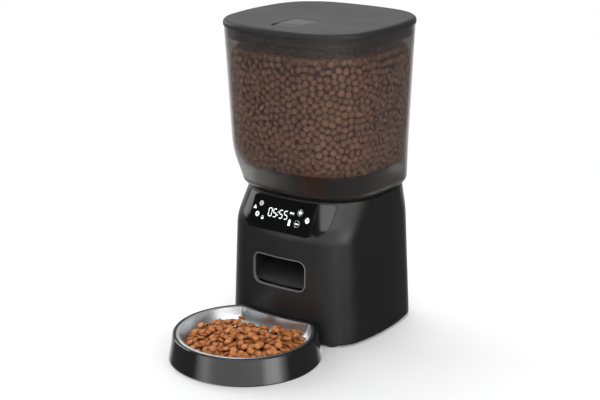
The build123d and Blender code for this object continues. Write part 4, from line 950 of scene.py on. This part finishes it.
def lightMask(tree):
    # what is seen straight or through the tank, and what is seen in a reflection
    paths = addNode(tree, "ShaderNodeLightPath")
    through = paths.outputs["Is Transmission Ray"]
    mirrored = mathNode(tree, "MINIMUM", paths.outputs["Glossy Depth"], 1.0)
    bounced = mathNode(tree, "ADD", mirrored, paths.outputs["Diffuse Depth"], clamp=True)
    straight = mathNode(tree, "MULTIPLY", through, mathNode(tree, "SUBTRACT", 1.0, bounced))
    seen = mathNode(tree, "MAXIMUM", paths.outputs["Is Camera Ray"], straight)
    behind = mathNode(tree, "MULTIPLY", through, mirrored)
    glossy = mathNode(tree, "MAXIMUM", paths.outputs["Is Glossy Ray"], behind)
    return seen, mathNode(tree, "MULTIPLY", glossy, mathNode(tree, "SUBTRACT", 1.0, seen))


def paleFloor():
    material = bpy.data.materials.new("paleFloor")
    material.use_nodes = True
    tree = material.node_tree
    tree.nodes.clear()
    outlet = addNode(tree, "ShaderNodeOutputMaterial")
    matt = addNode(tree, "ShaderNodeBsdfDiffuse")
    matt.inputs["Color"].default_value = (studio["floorWhite"],) * 3 + (1,)
    light = addNode(tree, "ShaderNodeEmission")
    away = addNode(tree, "ShaderNodeVectorMath", operation="LENGTH")
    link(tree, addNode(tree, "ShaderNodeTexCoord").outputs["Object"], away.inputs[0])
    lift = rangeNode(tree, away.outputs["Value"], studio["floorNear"], studio["floorFar"],
                     studio["floorLift"], 1.0)
    mix = addNode(tree, "ShaderNodeMixShader")
    link(tree, mathNode(tree, "MULTIPLY", lightMask(tree)[0], lift), mix.inputs["Fac"])
    link(tree, matt.outputs[0], mix.inputs[1])
    link(tree, light.outputs[0], mix.inputs[2])
    link(tree, mix.outputs[0], outlet.inputs["Surface"])
    bm = bmesh.new()
    bmesh.ops.create_grid(bm, x_segments=1, y_segments=1, size=studio["floorSize"])
    mesh = bpy.data.meshes.new("floor")
    bm.to_mesh(mesh)
    bm.free()
    mesh.materials.append(material)
    floor = bpy.data.objects.new("floor", mesh)
    floor.visible_glossy = False  # reflections show the studio round it
    scene.collection.objects.link(floor)


def panelRamp(tree, turn, height, panel):
    # one low panel in front of the object, as reflections show it
    ramp = addNode(tree, "ShaderNodeValToRGB")
    link(tree, rangeNode(tree, turn, -math.pi, math.pi, 0.0, 1.0), ramp.inputs["Fac"])
    stops = ramp.color_ramp.elements
    while len(stops) < len(panel["stops"]):
        stops.new(0.5)
    for stop, (azimuth, share) in zip(stops, panel["stops"]):
        stop.position = (azimuth + 180) / 360
        stop.color = (share, share, share, 1)
    lower = rangeNode(tree, height, *panel["rise"], 0.0, panel["peak"])
    upper = rangeNode(tree, height, *panel["fall"], 1.0, 0.0)
    return mathNode(tree, "MULTIPLY", ramp.outputs["Color"], mathNode(tree, "MULTIPLY", lower, upper))


def studioWorld():
    # white behind the object, and a darker room in front of it for reflections
    world = bpy.data.worlds.new("studio")
    scene.world = world
    world.use_nodes = True
    tree = world.node_tree
    sky = tree.nodes["Background"]
    direction = addNode(tree, "ShaderNodeTexCoord").outputs["Generated"]
    facing = addNode(tree, "ShaderNodeVectorMath", operation="DOT_PRODUCT")
    link(tree, direction, facing.inputs[0])
    facing.inputs[1].default_value = studio["backdrop"]
    rise = addNode(tree, "ShaderNodeSeparateXYZ")
    link(tree, direction, rise.inputs[0])
    height = rise.outputs["Z"]
    backdrop = mathNode(tree, "MULTIPLY",
                        rangeNode(tree, facing.outputs["Value"], *studio["backdropEdge"], 0.0, 1.0),
                        rangeNode(tree, height, *studio["backdropFade"], 1.0, studio["backdropHigh"]))
    below = addNode(tree, "ShaderNodeVectorMath", operation="DOT_PRODUCT")
    link(tree, direction, below.inputs[0])
    below.inputs[1].default_value = studio["floorGlow"]
    floorGlow = rangeNode(tree, below.outputs["Value"], *studio["glowEdge"], 0.0, 1.0)
    backdrop = mathNode(tree, "MAXIMUM", backdrop, floorGlow)
    ceiling = rangeNode(tree, height, *studio["overheadRise"], studio["roomGloss"], studio["overhead"])
    room = mathNode(tree, "ADD", backdrop, ceiling)
    turn = mathNode(tree, "ARCTAN2", rise.outputs["X"], mathNode(tree, "MULTIPLY", rise.outputs["Y"], -1.0))
    for panel in panels.values():
        room = mathNode(tree, "ADD", room, panelRamp(tree, turn, height, panel))
    seen, glossy = lightMask(tree)
    extra = mathNode(tree, "MULTIPLY", mathNode(tree, "SUBTRACT", room, studio["worldDiffuse"]), glossy)
    plain = mathNode(tree, "ADD", extra, studio["worldDiffuse"])
    missingWhite = mathNode(tree, "SUBTRACT", 1.0, plain)
    white = mathNode(tree, "MULTIPLY", missingWhite, seen)
    link(tree, mathNode(tree, "ADD", white, plain), sky.inputs["Strength"])
    sky.inputs["Color"].default_value = (1, 1, 1, 1)


lampAim = Vector((0.0, 0.03, 0.17))
lamps = {
    "keyLeft": {"azimuth": -88, "height": 27, "distance": 1.9, "size": (1.5, 1.45), "power": 15.0},
    "softRight": {"azimuth": 74, "height": 22, "distance": 1.9, "size": (1.2, 1.4), "power": 9.0},
    "frontLow": {"azimuth": 30, "height": 9, "distance": 2.5, "size": (2.4, 0.9), "power": 7.0,
                 "diffuse": 0.35},
    "frontHigh": {"azimuth": 30, "height": 38, "distance": 2.2, "size": (1.8, 0.7), "power": 12.0,
                  "diffuse": 0.3},
    "topSoft": {"azimuth": 208, "height": 62, "distance": 1.9, "size": (1.3, 1.0), "power": 20.0},
}


def addLamps():
    for name, values in lamps.items():
        turn, rise = math.radians(values["azimuth"]), math.radians(values["height"])
        way = Vector((math.sin(turn) * math.cos(rise), -math.cos(turn) * math.cos(rise), math.sin(rise)))
        data = bpy.data.lights.new(name, "AREA")
        data.shape = "RECTANGLE"
        data.size, data.size_y = values["size"]
        data.energy = values["power"]
        data.diffuse_factor = values.get("diffuse", 1.0)
        lamp = bpy.data.objects.new(name, data)
        lamp.matrix_world = (Matrix.Translation(lampAim + way * values["distance"])
                             @ way.to_track_quat("Z", "Y").to_matrix().to_4x4())
        scene.collection.objects.link(lamp)


camera = {"lens": 85.2, "sensor": 36.0, "place": (0.90337, -1.24504, 0.64035),
          "back": (0.55309, -0.77864, 0.29633)}


def addCamera():
    data = bpy.data.cameras.new("camera")
    data.lens = camera["lens"]
    data.sensor_width = camera["sensor"]
    data.sensor_fit = "HORIZONTAL"
    stand = bpy.data.objects.new("camera", data)
    facing = Vector(camera["back"]).to_track_quat("Z", "Y").to_matrix().to_4x4()
    stand.matrix_world = Matrix.Translation(Vector(camera["place"])) @ facing
    scene.collection.objects.link(stand)
    scene.camera = stand


paleFloor()
studioWorld()
addLamps()
addCamera()
scene.view_settings.view_transform = "Standard"
print("floor, light and camera placed")
